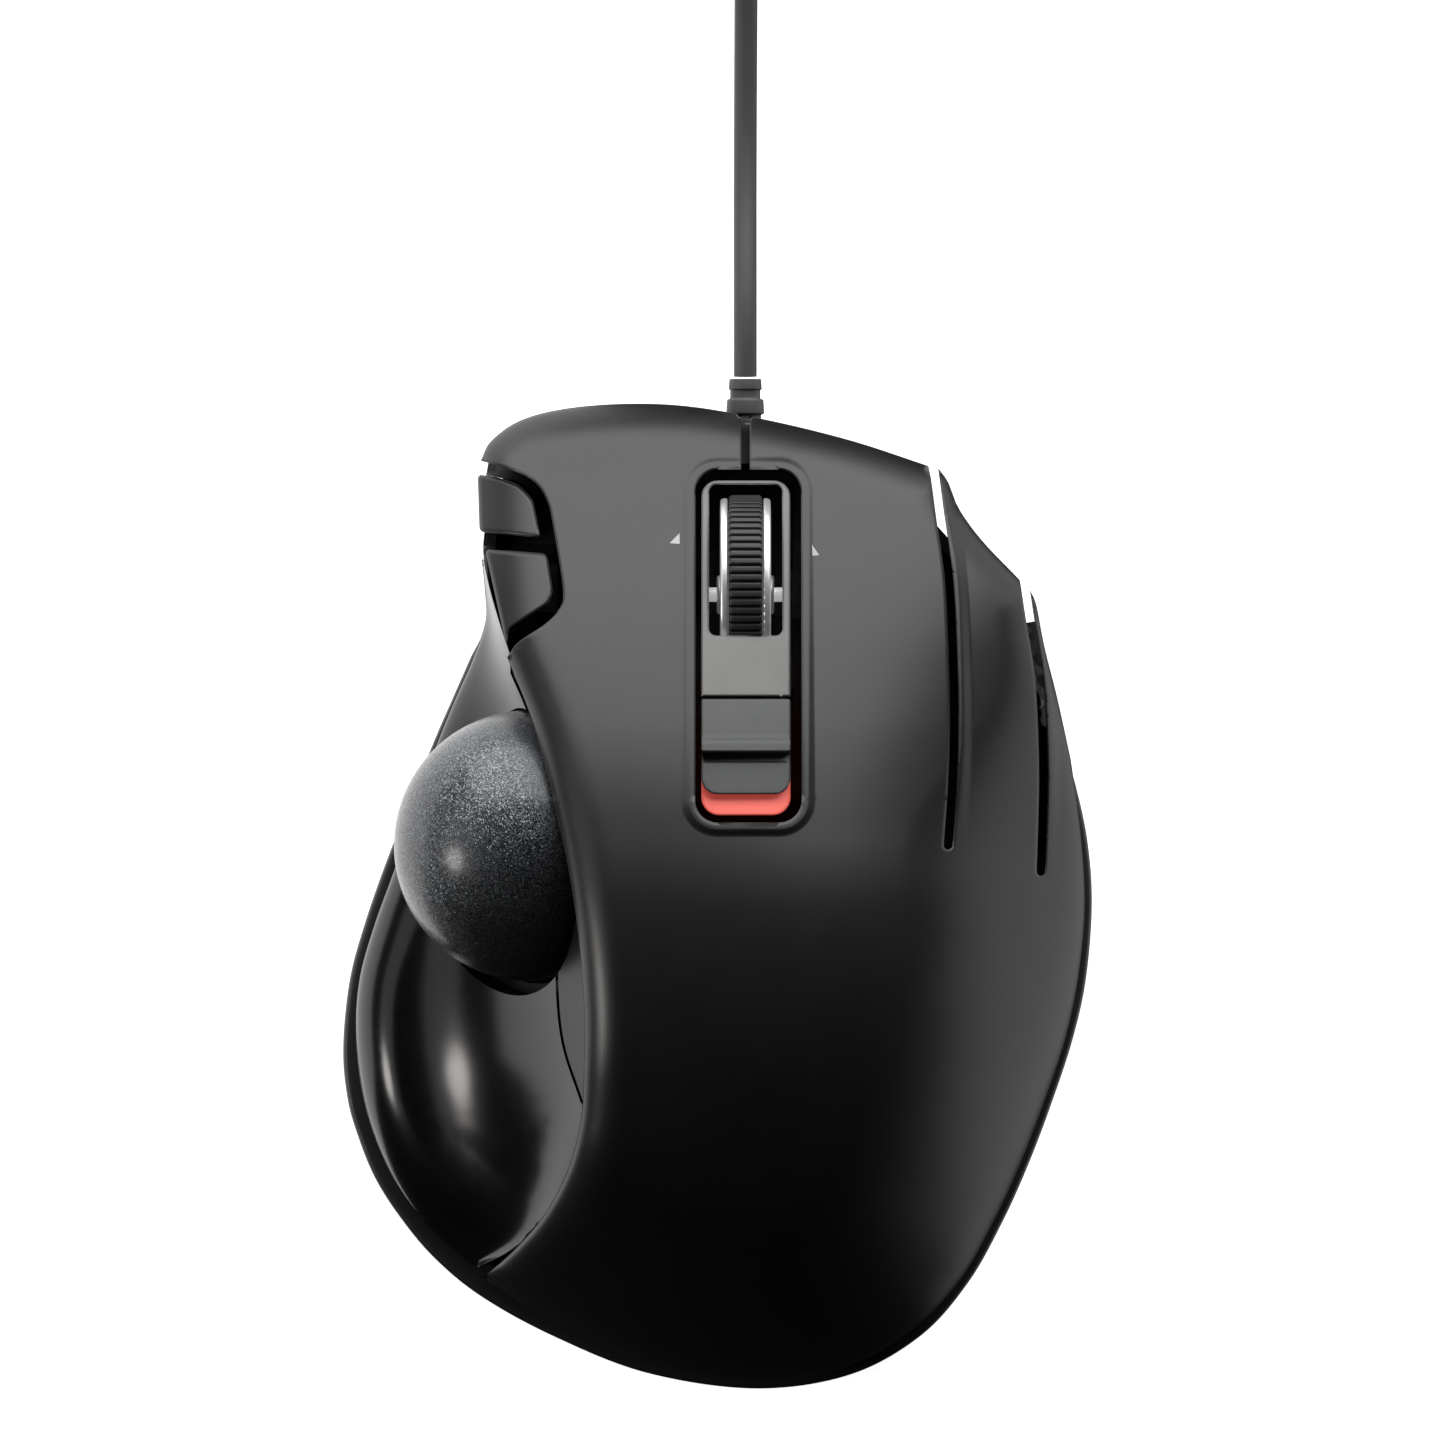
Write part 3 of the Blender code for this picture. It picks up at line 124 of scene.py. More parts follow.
BASE_OUTLINE = [
    (-29.6, 43.0), (-29.3, 34.9), (-31.4, 29.9), (-33.6, 24.9), (-35.9, 19.6), (-38.9, 12.0),
    (-41.8, 4.7), (-44.5, -3.0), (-46.5, -10.4), (-47.35, -19.0), (-46.8, -25.5), (-45.4, -30.5),
    (-43.3, -35.6), (-40.1, -40.6), (-35.8, -45.7), (-29.8, -50.6), (-20.7, -55.6), (-9.0, -60.2),
    (4.7, -62.2), (16.6, -60.5), (25.6, -55.6), (31.7, -48.8), (36.1, -41.0), (39.5, -33.4),
    (42.4, -25.7), (44.9, -18.1), (46.6, -10.4), (47.35, -1.0), (46.8, 7.0), (45.2, 14.5),
    (42.9, 22.0), (40.3, 28.5), (37.4, 34.4), (33.2, 40.5), (29.0, 45.4), (24.0, 50.3),
    (17.0, 54.3), (8.0, 57.0), (-8.0, 58.6), (-19.0, 57.4), (-26.0, 53.8), (-28.6, 49.5),
]
SLOT_1 = [
    (27.3, 54.0), (28.1, 47.6), (29.15, 39.1), (29.6, 28.1), (29.65, 20.7), (29.35, 13.3), (28.85, 6.7),
]
SLOT_2 = [(38.75, 39.4), (39.35, 35.2), (40.45, 28.1), (40.9, 20.7), (41.0, 13.3), (40.7, 3.3)]
SLOT_WIDTH = 1.1

# The thumb panel's height at its seam, as (y, z), and how high it rolls up from the rim
PANEL_SEAM = [
    (-50, 4.4), (-48, 6.2), (-44, 16.5), (-38, 28.0), (-30, 36.0), (-20, 40.2), (-10, 41.2),
    (0, 40.2), (10, 37.2), (20, 32.3), (26, 28.6), (30.6, 25.2), (35, 21.8), (39, 18.6), (43, 15.5),
]
PANEL_ROLL = [
    (-50, 0.3), (-46, 3.0), (-40, 6.6), (-25, 8.6), (-10, 7.8), (10, 6.2), (30, 7.0), (43, 8.5),
]
PANEL_ROLL_RADIUS, PANEL_HOLLOW = 6.0, 2.4

BALL_CENTRE, BALL_RADIUS, BALL_ROOM = (-23.6, 6.6, 22.6), 17.0, 17.6
MIDDLE_X = 3.5
WHEEL_CENTRE = (MIDDLE_X, 38.1, 21.8)
BAY_X, BAY_Y, BAY_CORNER, SLIT_WIDTH = (-2.8, 10.5), (9.6, 53.8), 2.8, 1.1
HINGE_Y = 12.5
STRIP_X, BEZEL_Y, SLIDER_Y = (-2.0, 9.1), (25.3, 52.4), (13.1, 25.0)
WINDOW_X, WINDOW_FRONT = (-1.07, 8.12), 51.9

FINE = 0.6


def smooth(points, step=FINE):
    """Points about `step` apart along a Catmull-Rom curve through the given ones."""
    p = np.asarray(points, float)
    p = np.vstack([2 * p[0] - p[1], p, 2 * p[-1] - p[-2]])
    found = []
    for before, start, end, after in zip(p, p[1:], p[2:], p[3:]):
        count = max(1, round(float(np.linalg.norm(end - start) / step)))
        t = np.arange(count)[:, None] / count
        bend = (2 * before - 5 * start + 4 * end - after) * t**2
        twist = (3 * start - before - 3 * end + after) * t**3
        found.append(0.5 * (2 * start + (end - before) * t + bend + twist))
    return np.vstack([*found, p[-2:-1]])


def smooth_loop(points, step=FINE):
    """The same on a closed curve, without repeating the first point."""
    count = len(points)
    wrapped = [*points[-3:], *points, *points[:3]]
    fine = smooth(wrapped, step)
    start = len(smooth(wrapped[:4], step)) - 1
    length = len(smooth(wrapped[: 4 + count], step)) - 1 - start
    return fine[start : start + length]


def profile(knots):
    """A function that reads a smooth curve through (position, height) knots."""
    fine = smooth(knots, 0.5)
    return lambda at: np.interp(at, fine[:, 0], fine[:, 1])


def smoothstep(low, high, value):
    t = np.clip((value - low) / (high - low), 0, 1)
    return t * t * (3 - 2 * t)


def roll(share):
    """A quarter circle: 0 at an edge, 1 once `share` of the way in."""
    return np.sqrt(1 - (1 - np.clip(share, 0, 1)) ** 2)


def ring(loop):
    """A closed outline as a line that ends where it starts."""
    return np.vstack([loop, loop[:1]])


def leftward(along):
    """Unit vectors to the left of these directions."""
    return np.stack([-along[:, 1], along[:, 0]], 1) / np.linalg.norm(along, axis=1)[:, None]


def in_chunks(work, points, size=1500):
    return np.concatenate([work(points[i : i + size]) for i in range(0, len(points), size)])


def distance(points, line):
    """How far each point is from an open line of points."""
    start, along = line[:-1], line[1:] - line[:-1]
    start, along = start[(along**2).sum(1) > 0], along[(along**2).sum(1) > 0]
    long = (along**2).sum(1)

    def nearest(some):
        away = some[:, None] - start
        t = np.clip((away * along).sum(2) / long, 0, 1)
        return np.sqrt(((away - t[..., None] * along) ** 2).sum(2).min(1))

    return in_chunks(nearest, points)


def inside(points, loop):
    """Which points lie inside a closed loop."""
    start, end = loop, np.roll(loop, -1, axis=0)
    rise = end[:, 1] - start[:, 1]
    slant = (end[:, 0] - start[:, 0]) / np.where(rise == 0, 1, rise)

    def crossed(some):
        x, y = some[:, 0, None], some[:, 1, None]
        crosses = (start[:, 1] > y) != (end[:, 1] > y)
        at = start[:, 0] + (y - start[:, 1]) * slant
        return (crosses & (x < at)).sum(1) % 2 == 1

    return in_chunks(crossed, points)


ridge_height = profile(RIDGE)
panel_seam_height = profile(PANEL_SEAM)
panel_roll_height = profile(PANEL_ROLL)
OUTER_EDGE = np.vstack([smooth(line) for line in (COVER_FRONT, FIN_1_FRONT, FIN_2_FRONT, COVER_SIDE)])
SEAM_EDGE = smooth(SEAM)
NOTCH_EDGE = smooth(NOTCH)
COVER_LOOP = np.vstack([OUTER_EDGE, SEAM_EDGE, NOTCH_EDGE])
PANEL_RIM_EDGE = smooth(PANEL_RIM)
PANEL_INNER = [(x + (0.9 if y > -42 else -0.3), y) for x, y in SEAM[1:-1]]
PANEL_INNER_EDGE = np.vstack([smooth([PANEL_TIP, *PANEL_INNER]), smooth(BUTTON_FOOT)[::-1]])
BASE_EDGE = smooth_loop(BASE_OUTLINE)


def crown(points):
    """The cover's height before its edges roll down."""
    x, y = points[:, 0], points[:, 1]
    share = 1 - (1 - FRONT_FALL_SHARE) * smoothstep(8, 56, y)
    return ridge_height(y) - SIDE_FALL * ((x - RIDGE_X) / SIDE_REACH) ** 2 * share


def cover_height(points, inset=0.0):
    """The cover's outer surface, or the surface `inset` inside it."""
    high = crown(points) - inset
    lifted = smoothstep(4, 32, points[:, 1])
    low = np.minimum(SHELL_BOTTOM + (crown(points) - LIP_HEIGHT - SHELL_BOTTOM) * lifted, high)
    radius = SKIRT_RADIUS + (LIP_RADIUS - SKIRT_RADIUS) * lifted
    from_edge = distance(points, OUTER_EDGE) - inset
    rolled = low + (high - low) * roll((from_edge + 0.4) / radius)
    from_seam = np.maximum(distance(points, SEAM_EDGE) - inset, 0)
    lip = np.minimum(RIDGE_LIP, 0.35 * (rolled - SHELL_BOTTOM))
    height = rolled - lip * (1 - roll((from_seam + 0.2) / RIDGE_RADIUS))
    under_edge = (from_edge <= 0) & (inset > 0)
    return np.where(under_edge, low, np.maximum(height, low))


def cover_inside(points):
    return cover_height(points, WALL)


def round_over(away, radius):
    """How far a rounded edge has dropped at this distance from it."""
    return radius - np.sqrt(np.maximum(radius**2 - np.maximum(radius - away, 0) ** 2, 0))


def eased(height, edge, radius):
    """The same height with its edge along a line rounded."""
    return lambda points: height(points) - round_over(distance(points, edge), radius)


def panel_height(points, inset=0.0):
    """The thumb panel's outer surface, or the surface `inset` inside it."""
    y = points[:, 1]
    from_rim = np.maximum(distance(points, PANEL_RIM_EDGE) - inset, 0)
    from_seam = distance(points, PANEL_INNER_EDGE) + 0.01
    share = from_rim / (from_rim + from_seam + inset)
    seam, rolled = panel_seam_height(y), panel_roll_height(y)
    rise = np.maximum(seam - SHELL_BOTTOM - rolled, 0)
    height = SHELL_BOTTOM + rolled * roll((from_rim + 0.3) / PANEL_ROLL_RADIUS) + rise * share**PANEL_HOLLOW
    return np.where(from_rim <= 0, SHELL_BOTTOM, height - inset) if inset else height


def panel_outside(points):
    """The panel's outer surface, kept under the cover's lip where that overhangs it."""
    height = np.maximum(panel_height(points), SHELL_BOTTOM + 0.8)
    under_lip = np.where(inside(points, COVER_LOOP), cover_inside(points) - 0.9, height)
    return np.minimum(height, under_lip)


def panel_inside(points):
    thin = np.minimum(panel_height(points, WALL), panel_outside(points) - 0.7)
    return np.minimum(np.maximum(thin, SHELL_BOTTOM), panel_outside(points) - 0.3)


def side_button_height(points):
    """The side buttons' tops: just under the cover's crown, falling to the left."""
    return crown(points) - 1.0 - 4.0 * (np.clip(-20 - points[:, 0], 0, None) / 10) ** 2


# ---- materials


def wire(tree, *pairs):
    """Links each pair of (node, output, node, input)."""
    for source, output, target, socket in pairs:
        tree.links.new(source.outputs[output], target.inputs[socket])


def add(tree, kind, **inputs):
    """A shader node with these inputs set."""
    made = tree.nodes.new("ShaderNode" + kind)
    for socket, value in inputs.items():
        made.inputs[socket.replace("_", " ")].default_value = value
    return made


def colour_ramp(tree, stops):
    """A colour ramp with two stops, each a (position, colour)."""
    ramp = add(tree, "ValToRGB")
    for element, (position, colour) in zip(ramp.color_ramp.elements, stops):
        element.position, element.color = position, (*colour, 1)
    return ramp


def plastic(name, colour, roughness, vary=0.12, patch=7.0, grain=0.28, bump=0.006, **sockets):
    """A moulded surface: broad colour patches, fine grain in roughness and bump."""
    made = bpy.data.materials.new(name)
    made.use_nodes = True
    tree = made.node_tree
    shader = tree.nodes["Principled BSDF"]
    for socket, value in sockets.items():
        shader.inputs[socket.replace("_", " ").title().replace("Ior", "IOR")].default_value = value
    place = add(tree, "TexCoord")
    broad = add(tree, "TexNoise", Scale=1 / (patch * MM), Detail=4)
    shades = [[min(1, c * share) for c in colour] for share in (1 - vary, 1 + vary)]
    ramp = colour_ramp(tree, zip((0.3, 0.7), shades))
    fine = add(tree, "TexNoise", Scale=1 / (grain * MM), Detail=2)
    rough = add(tree, "MapRange", To_Min=roughness * 0.9, To_Max=roughness * 1.1)
    relief = add(tree, "Bump", Strength=0.5, Distance=bump * MM)
    wire(
        tree, (place, "Object", broad, "Vector"), (place, "Object", fine, "Vector"),
        (broad, "Fac", ramp, "Fac"), (ramp, "Color", shader, "Base Color"), (fine, "Fac", rough, "Value"),
        (rough, "Result", shader, "Roughness"), (fine, "Fac", relief, "Height"),
        (relief, "Normal", shader, "Normal"),
    )
    return made


FLAKE_SIZE, FLAKE_TIP = 0.13, 0.35


def flaked(name):
    """Clear resin over dark paint with fine silver flakes, each tipped its own way."""
    made = plastic(name, (0.035, 0.038, 0.043), 0.38, vary=0.1, bump=0.0, metallic=0.75)
    tree = made.node_tree
    shader = tree.nodes["Principled BSDF"]
    shader.inputs["Coat Weight"].default_value = 0.65
    shader.inputs["Coat Roughness"].default_value = 0.22
    place = next(n for n in tree.nodes if n.type == "TEX_COORD")
    cells = add(tree, "TexVoronoi", Scale=1 / (FLAKE_SIZE * MM))
    parts = add(tree, "SeparateColor")
    ramp = colour_ramp(tree, [(0.45, (0.022, 0.024, 0.027)), (1.0, (0.2, 0.215, 0.235))])
    tip, tipped, unit = [add(tree, "VectorMath") for _ in range(3)]
    tip.operation, unit.operation = "MULTIPLY_ADD", "NORMALIZE"
    tip.inputs[1].default_value = [2 * FLAKE_TIP] * 3
    tip.inputs[2].default_value = [-FLAKE_TIP] * 3
    surface = add(tree, "NewGeometry")
    wire(
        tree, (place, "Object", cells, "Vector"), (cells, "Color", parts, "Color"),
        (parts, "Red", ramp, "Fac"), (ramp, "Color", shader, "Base Color"), (cells, "Color", tip, 0),
        (surface, "Normal", tipped, 0), (tip, "Vector", tipped, 1), (tipped, "Vector", unit, 0),
        (unit, "Vector", shader, "Normal"),
    )
    return made


COVER = plastic("cover_black", (0.0095, 0.0097, 0.01), 0.34, grain=0.22, bump=0.008)
INNER = plastic("inner_black", (0.007, 0.007, 0.007), 0.6, specular_ior_level=0.2)
GLOSS = plastic("gloss_black", (0.004, 0.004, 0.0045), 0.2, grain=2.0, bump=0.0006)
SURROUND_BLACK = plastic("surround_black", (0.006, 0.006, 0.006), 0.32)
BASE = plastic("base_black", (0.022, 0.022, 0.0225), 0.4)
BALL = flaked("flaked_resin")
BEZEL = plastic("bezel_grey", (0.135, 0.134, 0.13), 0.45, vary=0.05, metallic=0.35)
SLIDER = plastic("slider_grey", (0.06, 0.062, 0.064), 0.45, vary=0.06)
# The coral also glows: painted light that makes the marker brighter than the lamps alone would
CORAL = plastic(
    "marker_coral", (0.98, 0.17, 0.13), 0.42, vary=0.05,
    emission_color=(1, 0.14, 0.11, 1), emission_strength=0.3,
)
TYRE = plastic("tyre_rubber", (0.02, 0.02, 0.021), 0.5, grain=0.15, bump=0.01)
# The chrome also glows faintly: painted light that lifts the rims' shaded lower parts
CHROME = plastic(
    "rim_chrome_painted_glow", (0.85, 0.86, 0.87), 0.36, vary=0.04, bump=0.001, metallic=0.9,
    emission_color=(1, 1, 1, 1), emission_strength=0.06,
)
STEEL = plastic("plain_steel", (0.6, 0.6, 0.61), 0.24, vary=0.06, bump=0.002, metallic=1.0)
MECHANISM = plastic("mechanism_black", (0.012, 0.012, 0.013), 0.45)
WHITE = plastic("natural_acetal", (0.7, 0.7, 0.66), 0.4, vary=0.05)
SWITCH = plastic("switch_black", (0.02, 0.02, 0.022), 0.5)
BOARD = plastic("board_black", (0.012, 0.014, 0.013), 0.35, patch=2.5, vary=0.3)
# The axle glows: painted light standing in for the shine of a lamp that does not reach it in the bay
AXLE = plastic(
    "satin_steel_painted_glow", (0.9, 0.9, 0.91), 0.5, vary=0.04, bump=0.001, metallic=0.3,
    emission_color=(1, 1, 1, 1), emission_strength=0.3,
)
BLACKENED = plastic("blackened_steel", (0.03, 0.03, 0.032), 0.4, vary=0.06, bump=0.002, metallic=0.6)
RUBY = plastic("bearing_ruby", (0.35, 0.01, 0.03), 0.08, coat_weight=0.6)
LENS_CLEAR = plastic("sensor_lens_clear", (0.8, 0.82, 0.85), 0.06, vary=0.03, transmission_weight=0.9)
CORD = plastic("cord_jacket", (0.062, 0.062, 0.064), 0.5, vary=0.05, grain=0.4, bump=0.01)
BOOT = plastic("boot_rubber", (0.075, 0.075, 0.077), 0.5, vary=0.06, grain=0.4, bump=0.01)
FOOT = plastic("foot_pad", (0.05, 0.05, 0.051), 0.35, vary=0.1)
MARK = plastic("printed_mark", (0.42, 0.42, 0.42), 0.5, vary=0.08)
GOLD = plastic("contact_gold", (0.75, 0.5, 0.18), 0.22, vary=0.06, metallic=1.0)

# ---- making meshes


def solid(name, points, faces, material, smooth_angle=32):
    """An object from points in millimetres, faces turned outwards, shaded smooth."""
    mesh = bpy.data.meshes.new(name)
    mesh.from_pydata([tuple(p) for p in np.asarray(points, float) * MM], [], [list(f) for f in faces])
    work = bmesh.new()
    work.from_mesh(mesh)
    bmesh.ops.recalc_face_normals(work, faces=work.faces)
    work.to_mesh(mesh)
    work.free()
    mesh.shade_smooth()
    mesh.set_sharp_from_angle(angle=math.radians(smooth_angle))
    if material:
        mesh.materials.append(material)
    return linked(name, mesh)


def apply_modifier(made):
    bpy.context.view_layer.update()
    graph = bpy.context.evaluated_depsgraph_get()
    mesh = bpy.data.meshes.new_from_object(made.evaluated_get(graph))
    made.modifiers.clear()
    made.data = mesh


def combine(target, other, operation="DIFFERENCE"):
    """Applies one Boolean straight away, and removes the other object."""
    modifier = target.modifiers.new(other.name, "BOOLEAN")
    modifier.object, modifier.operation, modifier.solver = other, operation, "EXACT"
    apply_modifier(target)
    bpy.data.objects.remove(other)
    return target


def sheet_points(loop, rings, spacing, extra):
    """Points for a sheet: its outline, rings inside that, extra ones, and a grid over the rest."""
    closed = ring(loop)
    inward = leftward(np.roll(loop, -1, axis=0) - np.roll(loop, 1, axis=0))
    kept = [loop]
    for depth in rings:
        row = loop + inward * depth
        row = row[inside(row, loop)]
        row = row[distance(row, closed) > 0.9 * depth]
        cells = np.unique(np.round(row / (0.35 * FINE)), axis=0, return_index=True)[1]
        kept.append(row[np.sort(cells)])
    if len(extra):
        kept.append(extra)
    low, high = loop.min(0), loop.max(0)
    rows = np.arange(low[1], high[1], spacing * 0.87)
    columns = np.arange(low[0], high[0], spacing)
    grid = np.array([(x + spacing / 2 * (i % 2), y) for i, y in enumerate(rows) for x in columns])
    grid = grid[inside(grid, loop)]
    margin = (rings[-1] if rings else 0) + 0.5 * spacing
    kept.append(grid[distance(grid, closed) > margin])
    return np.vstack(kept)


def sheet(name, loop, top, bottom, material, rings=(0.08, 0.22, 0.45, 0.8, 1.4), spacing=1.2, extra=()):
    """A closed solid between two heights over a counter-clockwise outline."""
    loop = np.asarray(loop, float)
    points = sheet_points(loop, rings, spacing, np.asarray(extra, float))
    corners = [Vector(p) for p in points]
    flat, _, faces, *_ = delaunay_2d_cdt(corners, [], [list(range(len(loop)))], 1, 1e-4)
    flat = np.array([tuple(p) for p in flat])
    count = len(flat)
    upper = np.column_stack([flat, top(flat)])
    lower = np.column_stack([flat, np.minimum(bottom(flat), upper[:, 2] - 0.05)])
    edges = {(a, b) for f in faces for a, b in zip(f, [*f[1:], f[0]])}
    walls = [(b, a, a + count, b + count) for a, b in edges if (b, a) not in edges]
    floor = [[v + count for v in reversed(f)] for f in faces]
    return solid(name, np.vstack([upper, lower]), [*faces, *floor, *walls], material)


SHARP_ANGLE = 35


def true_normals(made, top, step=0.03):
    """Gives the faces that lie on the height field `top` its own exact normals."""
    mesh = made.data
    mesh.set_sharp_from_angle(angle=math.radians(SHARP_ANGLE))
    points = np.empty(len(mesh.vertices) * 3)
    mesh.vertices.foreach_get("co", points)
    points = points.reshape(-1, 3) / MM
    flat = points[:, :2]
    here = top(flat)
    on_top = np.abs(points[:, 2] - here) < 0.004
    slope_x = (top(flat + [step, 0]) - top(flat - [step, 0])) / (2 * step)
    slope_y = (top(flat + [0, step]) - top(flat - [0, step])) / (2 * step)
    normals = np.column_stack([-slope_x, -slope_y, np.ones(len(flat))])
    normals /= np.linalg.norm(normals, axis=1)[:, None]
    found = np.zeros((len(mesh.loops), 3))
    for face in mesh.polygons:
        if face.normal.z > 0.02 and all(on_top[v] for v in face.vertices):
            for corner, vertex in zip(face.loop_indices, face.vertices):
                found[corner] = normals[vertex]
    mesh.normals_split_custom_set([tuple(n) for n in found])
    return made


def prism(name, outline, low, high, material=None):
    """An outline in XY, extruded from one height to another."""
    count = len(outline)
    points = [(x, y, low) for x, y in outline] + [(x, y, high) for x, y in outline]
    sides = [(i, (i + 1) % count, (i + 1) % count + count, i + count) for i in range(count)]
    return solid(name, points, [range(count - 1, -1, -1), range(count, 2 * count), *sides], material)


def quarter_arc(x, y, radius, quarter, steps=8):
    """A quarter of a circle, as a list of points, starting `quarter` right angles from the X axis."""
    angles = [(quarter + step / steps) * math.pi / 2 for step in range(steps + 1)]
    return [(x + radius * math.cos(a), y + radius * math.sin(a)) for a in angles]


def rounded(low, high, radius, steps=8):
    """A rectangle's outline with round corners, counter-clockwise."""
    centres = [(high[0] - radius, high[1] - radius), (low[0] + radius, high[1] - radius)]
    centres += [(low[0] + radius, low[1] + radius), (high[0] - radius, low[1] + radius)]
    return [p for k, (x, y) in enumerate(centres) for p in quarter_arc(x, y, radius, k, steps)]


def filled(outline, step=0.4):
    """A closed outline with extra points, so that no side is longer than `step`."""
    found = []
    for start, end in zip(outline, [*outline[1:], outline[0]]):
        count = max(1, math.ceil(math.dist(start, end) / step))
        found += [tuple(np.add(start, np.subtract(end, start) * k / count)) for k in range(count)]
    return np.array(found)


def turned(name, outline, centre, axis, material, segments=96, wave=None):
    """A solid turned about `axis` through `centre`, from a closed outline of (radius, along).
    `wave` gives each outline point's radius at an angle."""
    turn = Vector((0, 0, 1)).rotation_difference(Vector(axis)).to_matrix()
    points, rows = [], []
    for index, (radius, along) in enumerate(outline):
        steps = 1 if radius < 1e-6 else segments
        rows.append([len(points) + (k % steps) for k in range(segments)])
        for k in range(steps):
            angle = 2 * math.pi * k / segments
            reach = radius if wave is None else wave(index, radius, angle)
            spoke = Vector((reach * math.cos(angle), reach * math.sin(angle), along))
            points.append(tuple(turn @ spoke + Vector(centre)))
    faces = []
    for this, that in zip(rows, [*rows[1:], rows[0]]):
        for k in range(segments):
            face = [this[k], this[(k + 1) % segments], that[(k + 1) % segments], that[k]]
            face = list(dict.fromkeys(face))
            if len(face) > 2:
                faces.append(face)
    return solid(name, points, faces, material)


def softened(outline, radius=0.3, steps=4):
    """An outline with each corner cut round."""
    found = []
    corners = np.array(outline, float)
    for before, here, after in zip(np.roll(corners, 1, axis=0), corners, np.roll(corners, -1, axis=0)):
        if here[0] < 1e-6:
            found.append(tuple(here))
            continue
        sides = [(side, np.linalg.norm(side)) for side in (before - here, after - here)]
        reach = min(radius, *[0.4 * length for _, length in sides])
        start, end = [here + side / length * reach for side, length in sides]
        for k in range(steps + 1):
            t = k / steps
            found.append(tuple((1 - t) ** 2 * start + 2 * t * (1 - t) * here + t**2 * end))
    return found


def sphere(name, radius, centre, material, rows):
    angles = [math.pi * k / rows for k in range(rows + 1)]
    outline = [(radius * math.sin(a), -radius * math.cos(a)) for a in angles]
    outline[0], outline[-1] = (0, -radius), (0, radius)
    return turned(name, outline, centre, (0, 0, 1), material, 2 * rows)


def ball_room(extra=0.0, shift=(0, 0)):
    """The room round the ball, or a larger one that is moved sideways."""
    centre = (BALL_CENTRE[0] + shift[0], BALL_CENTRE[1] + shift[1], BALL_CENTRE[2])
    return sphere("ball_room", BALL_ROOM + extra, centre, None, 64)


RECESS_EXTRA, RECESS_SHIFT = 0.55, (0.35, -0.8)


def bevelled(made, width, segments=3):
    """Rounds a piece's sharp edges."""
    modifier = made.modifiers.new("bevel", "BEVEL")
    modifier.width, modifier.segments = width * MM, segments
    modifier.limit_method, modifier.angle_limit = "ANGLE", math.radians(40)
    apply_modifier(made)
    made.data.shade_smooth()
    made.data.set_sharp_from_angle(angle=math.radians(50))
    return made


def finished(made, body, slot, *nodes):
    """Rides on its body, and hides the nodes that it stands for; its `slot` is not used."""
    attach(made, body)
    if nodes:
        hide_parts(*nodes)
    return made


# ---- cord

CORD_RADIUS = 1.45
CORD_EXIT = (3.5, 65.7, 8.0)
CORD_RUN = [
    CORD_EXIT, (3.5, 69.5, 7.9), (3.5, 75.0, 7.1), (3.5, 81.5, 5.3), (3.5, 88.0, 3.4),
    (3.52, 95.0, 2.0), (3.55, 103.0, 1.5), (3.6, 112.0, 1.5), (3.65, 121.0, 1.5), (3.65, 127.8, 1.5),
]
CORD_TAIL = [
    (3.65, 153.2, 9.6), (4.1, 158.0, 8.2), (6.3, 163.4, 6.0), (10.6, 167.6, 4.0), (15.6, 168.9, 2.9),
    (20.6, 167.6, 2.9), (24.4, 163.9, 3.4), (26.0, 158.3, 3.9),
]
COIL_CENTRE, COIL_MIDDLE = (-16.65, 141.0), 17.4
COIL_RADII = (20.3, 17.4, 14.5)
COIL_LAYERS = (1.5, 4.4, 7.3, 10.2)
TURN_POINTS = 40


def coil_points():
    """Turn by turn, out to in, then in to out on top; the last turn ends over its own start."""
    stops = []
    for layer, height in enumerate(COIL_LAYERS):
        radii = COIL_RADII if layer % 2 == 0 else COIL_RADII[::-1]
        stops += [(radius, height) for radius in radii]
    stops.append((COIL_RADII[0], COIL_LAYERS[-1] + 2 * CORD_RADIUS))
    found = []
    for (radius, height), after in zip(stops, stops[1:]):
        for k in range(TURN_POINTS):
            step = smoothstep(0.72, 1.0, k / TURN_POINTS)
            angle = 2 * math.pi * k / TURN_POINTS
            reach = radius + (after[0] - radius) * step
            across, along = reach * math.cos(angle), reach * math.sin(angle)
            rise = height + (after[1] - height) * step
            found.append((COIL_CENTRE[0] + across, COIL_CENTRE[1] + along, rise))
    return np.array(found)


def make_cord():
    top = (COIL_CENTRE[0] + COIL_RADII[0], COIL_CENTRE[1], COIL_LAYERS[-1] + 2 * CORD_RADIUS)
    lead_out = smooth([top, *CORD_TAIL], 3.0)
    route = np.vstack([smooth([*CORD_RUN, (3.65, 134.0, 1.5)], 3.0), coil_points(), lead_out])
    curve = bpy.data.curves.new("cord", "CURVE")
    curve.dimensions, curve.use_fill_caps = "3D", True
    curve.bevel_depth, curve.bevel_resolution = CORD_RADIUS * MM, 4
    spline = curve.splines.new("POLY")
    spline.points.add(len(route) - 1)
    for knot, point in zip(spline.points, route):
        knot.co = (*(point * MM), 1)
    curve.materials.append(CORD)
    return finished(linked("cord", curve), "case", "cord_jacket", "cord_run", "cord_coil", "cord_tail")


# ---- shell


def moved(line, side):
    """An open line shifted sideways, to its left for a positive distance."""
    return line + leftward(np.gradient(line, axis=0)) * side


def slot_side(slot, side, past=99.0):
    """One edge of a slot, front to rear, from `past` backwards. Positive is the right-hand edge."""
    line = moved(smooth(slot), side * SLOT_WIDTH / 2)
    return line[line[:, 1] < past]


def slot_end(slot):
    """The round rear end of a slot, left to right."""
    line = smooth(slot)
    back = (line[-1] - line[-2]) / np.linalg.norm(line[-1] - line[-2])
    side = np.array([-back[1], back[0]])
    angles = np.linspace(0, math.pi, 9)[1:-1]
    reach = SLOT_WIDTH / 2
    return np.array([line[-1] + reach * (math.cos(a) * -side + math.sin(a) * back) for a in angles])


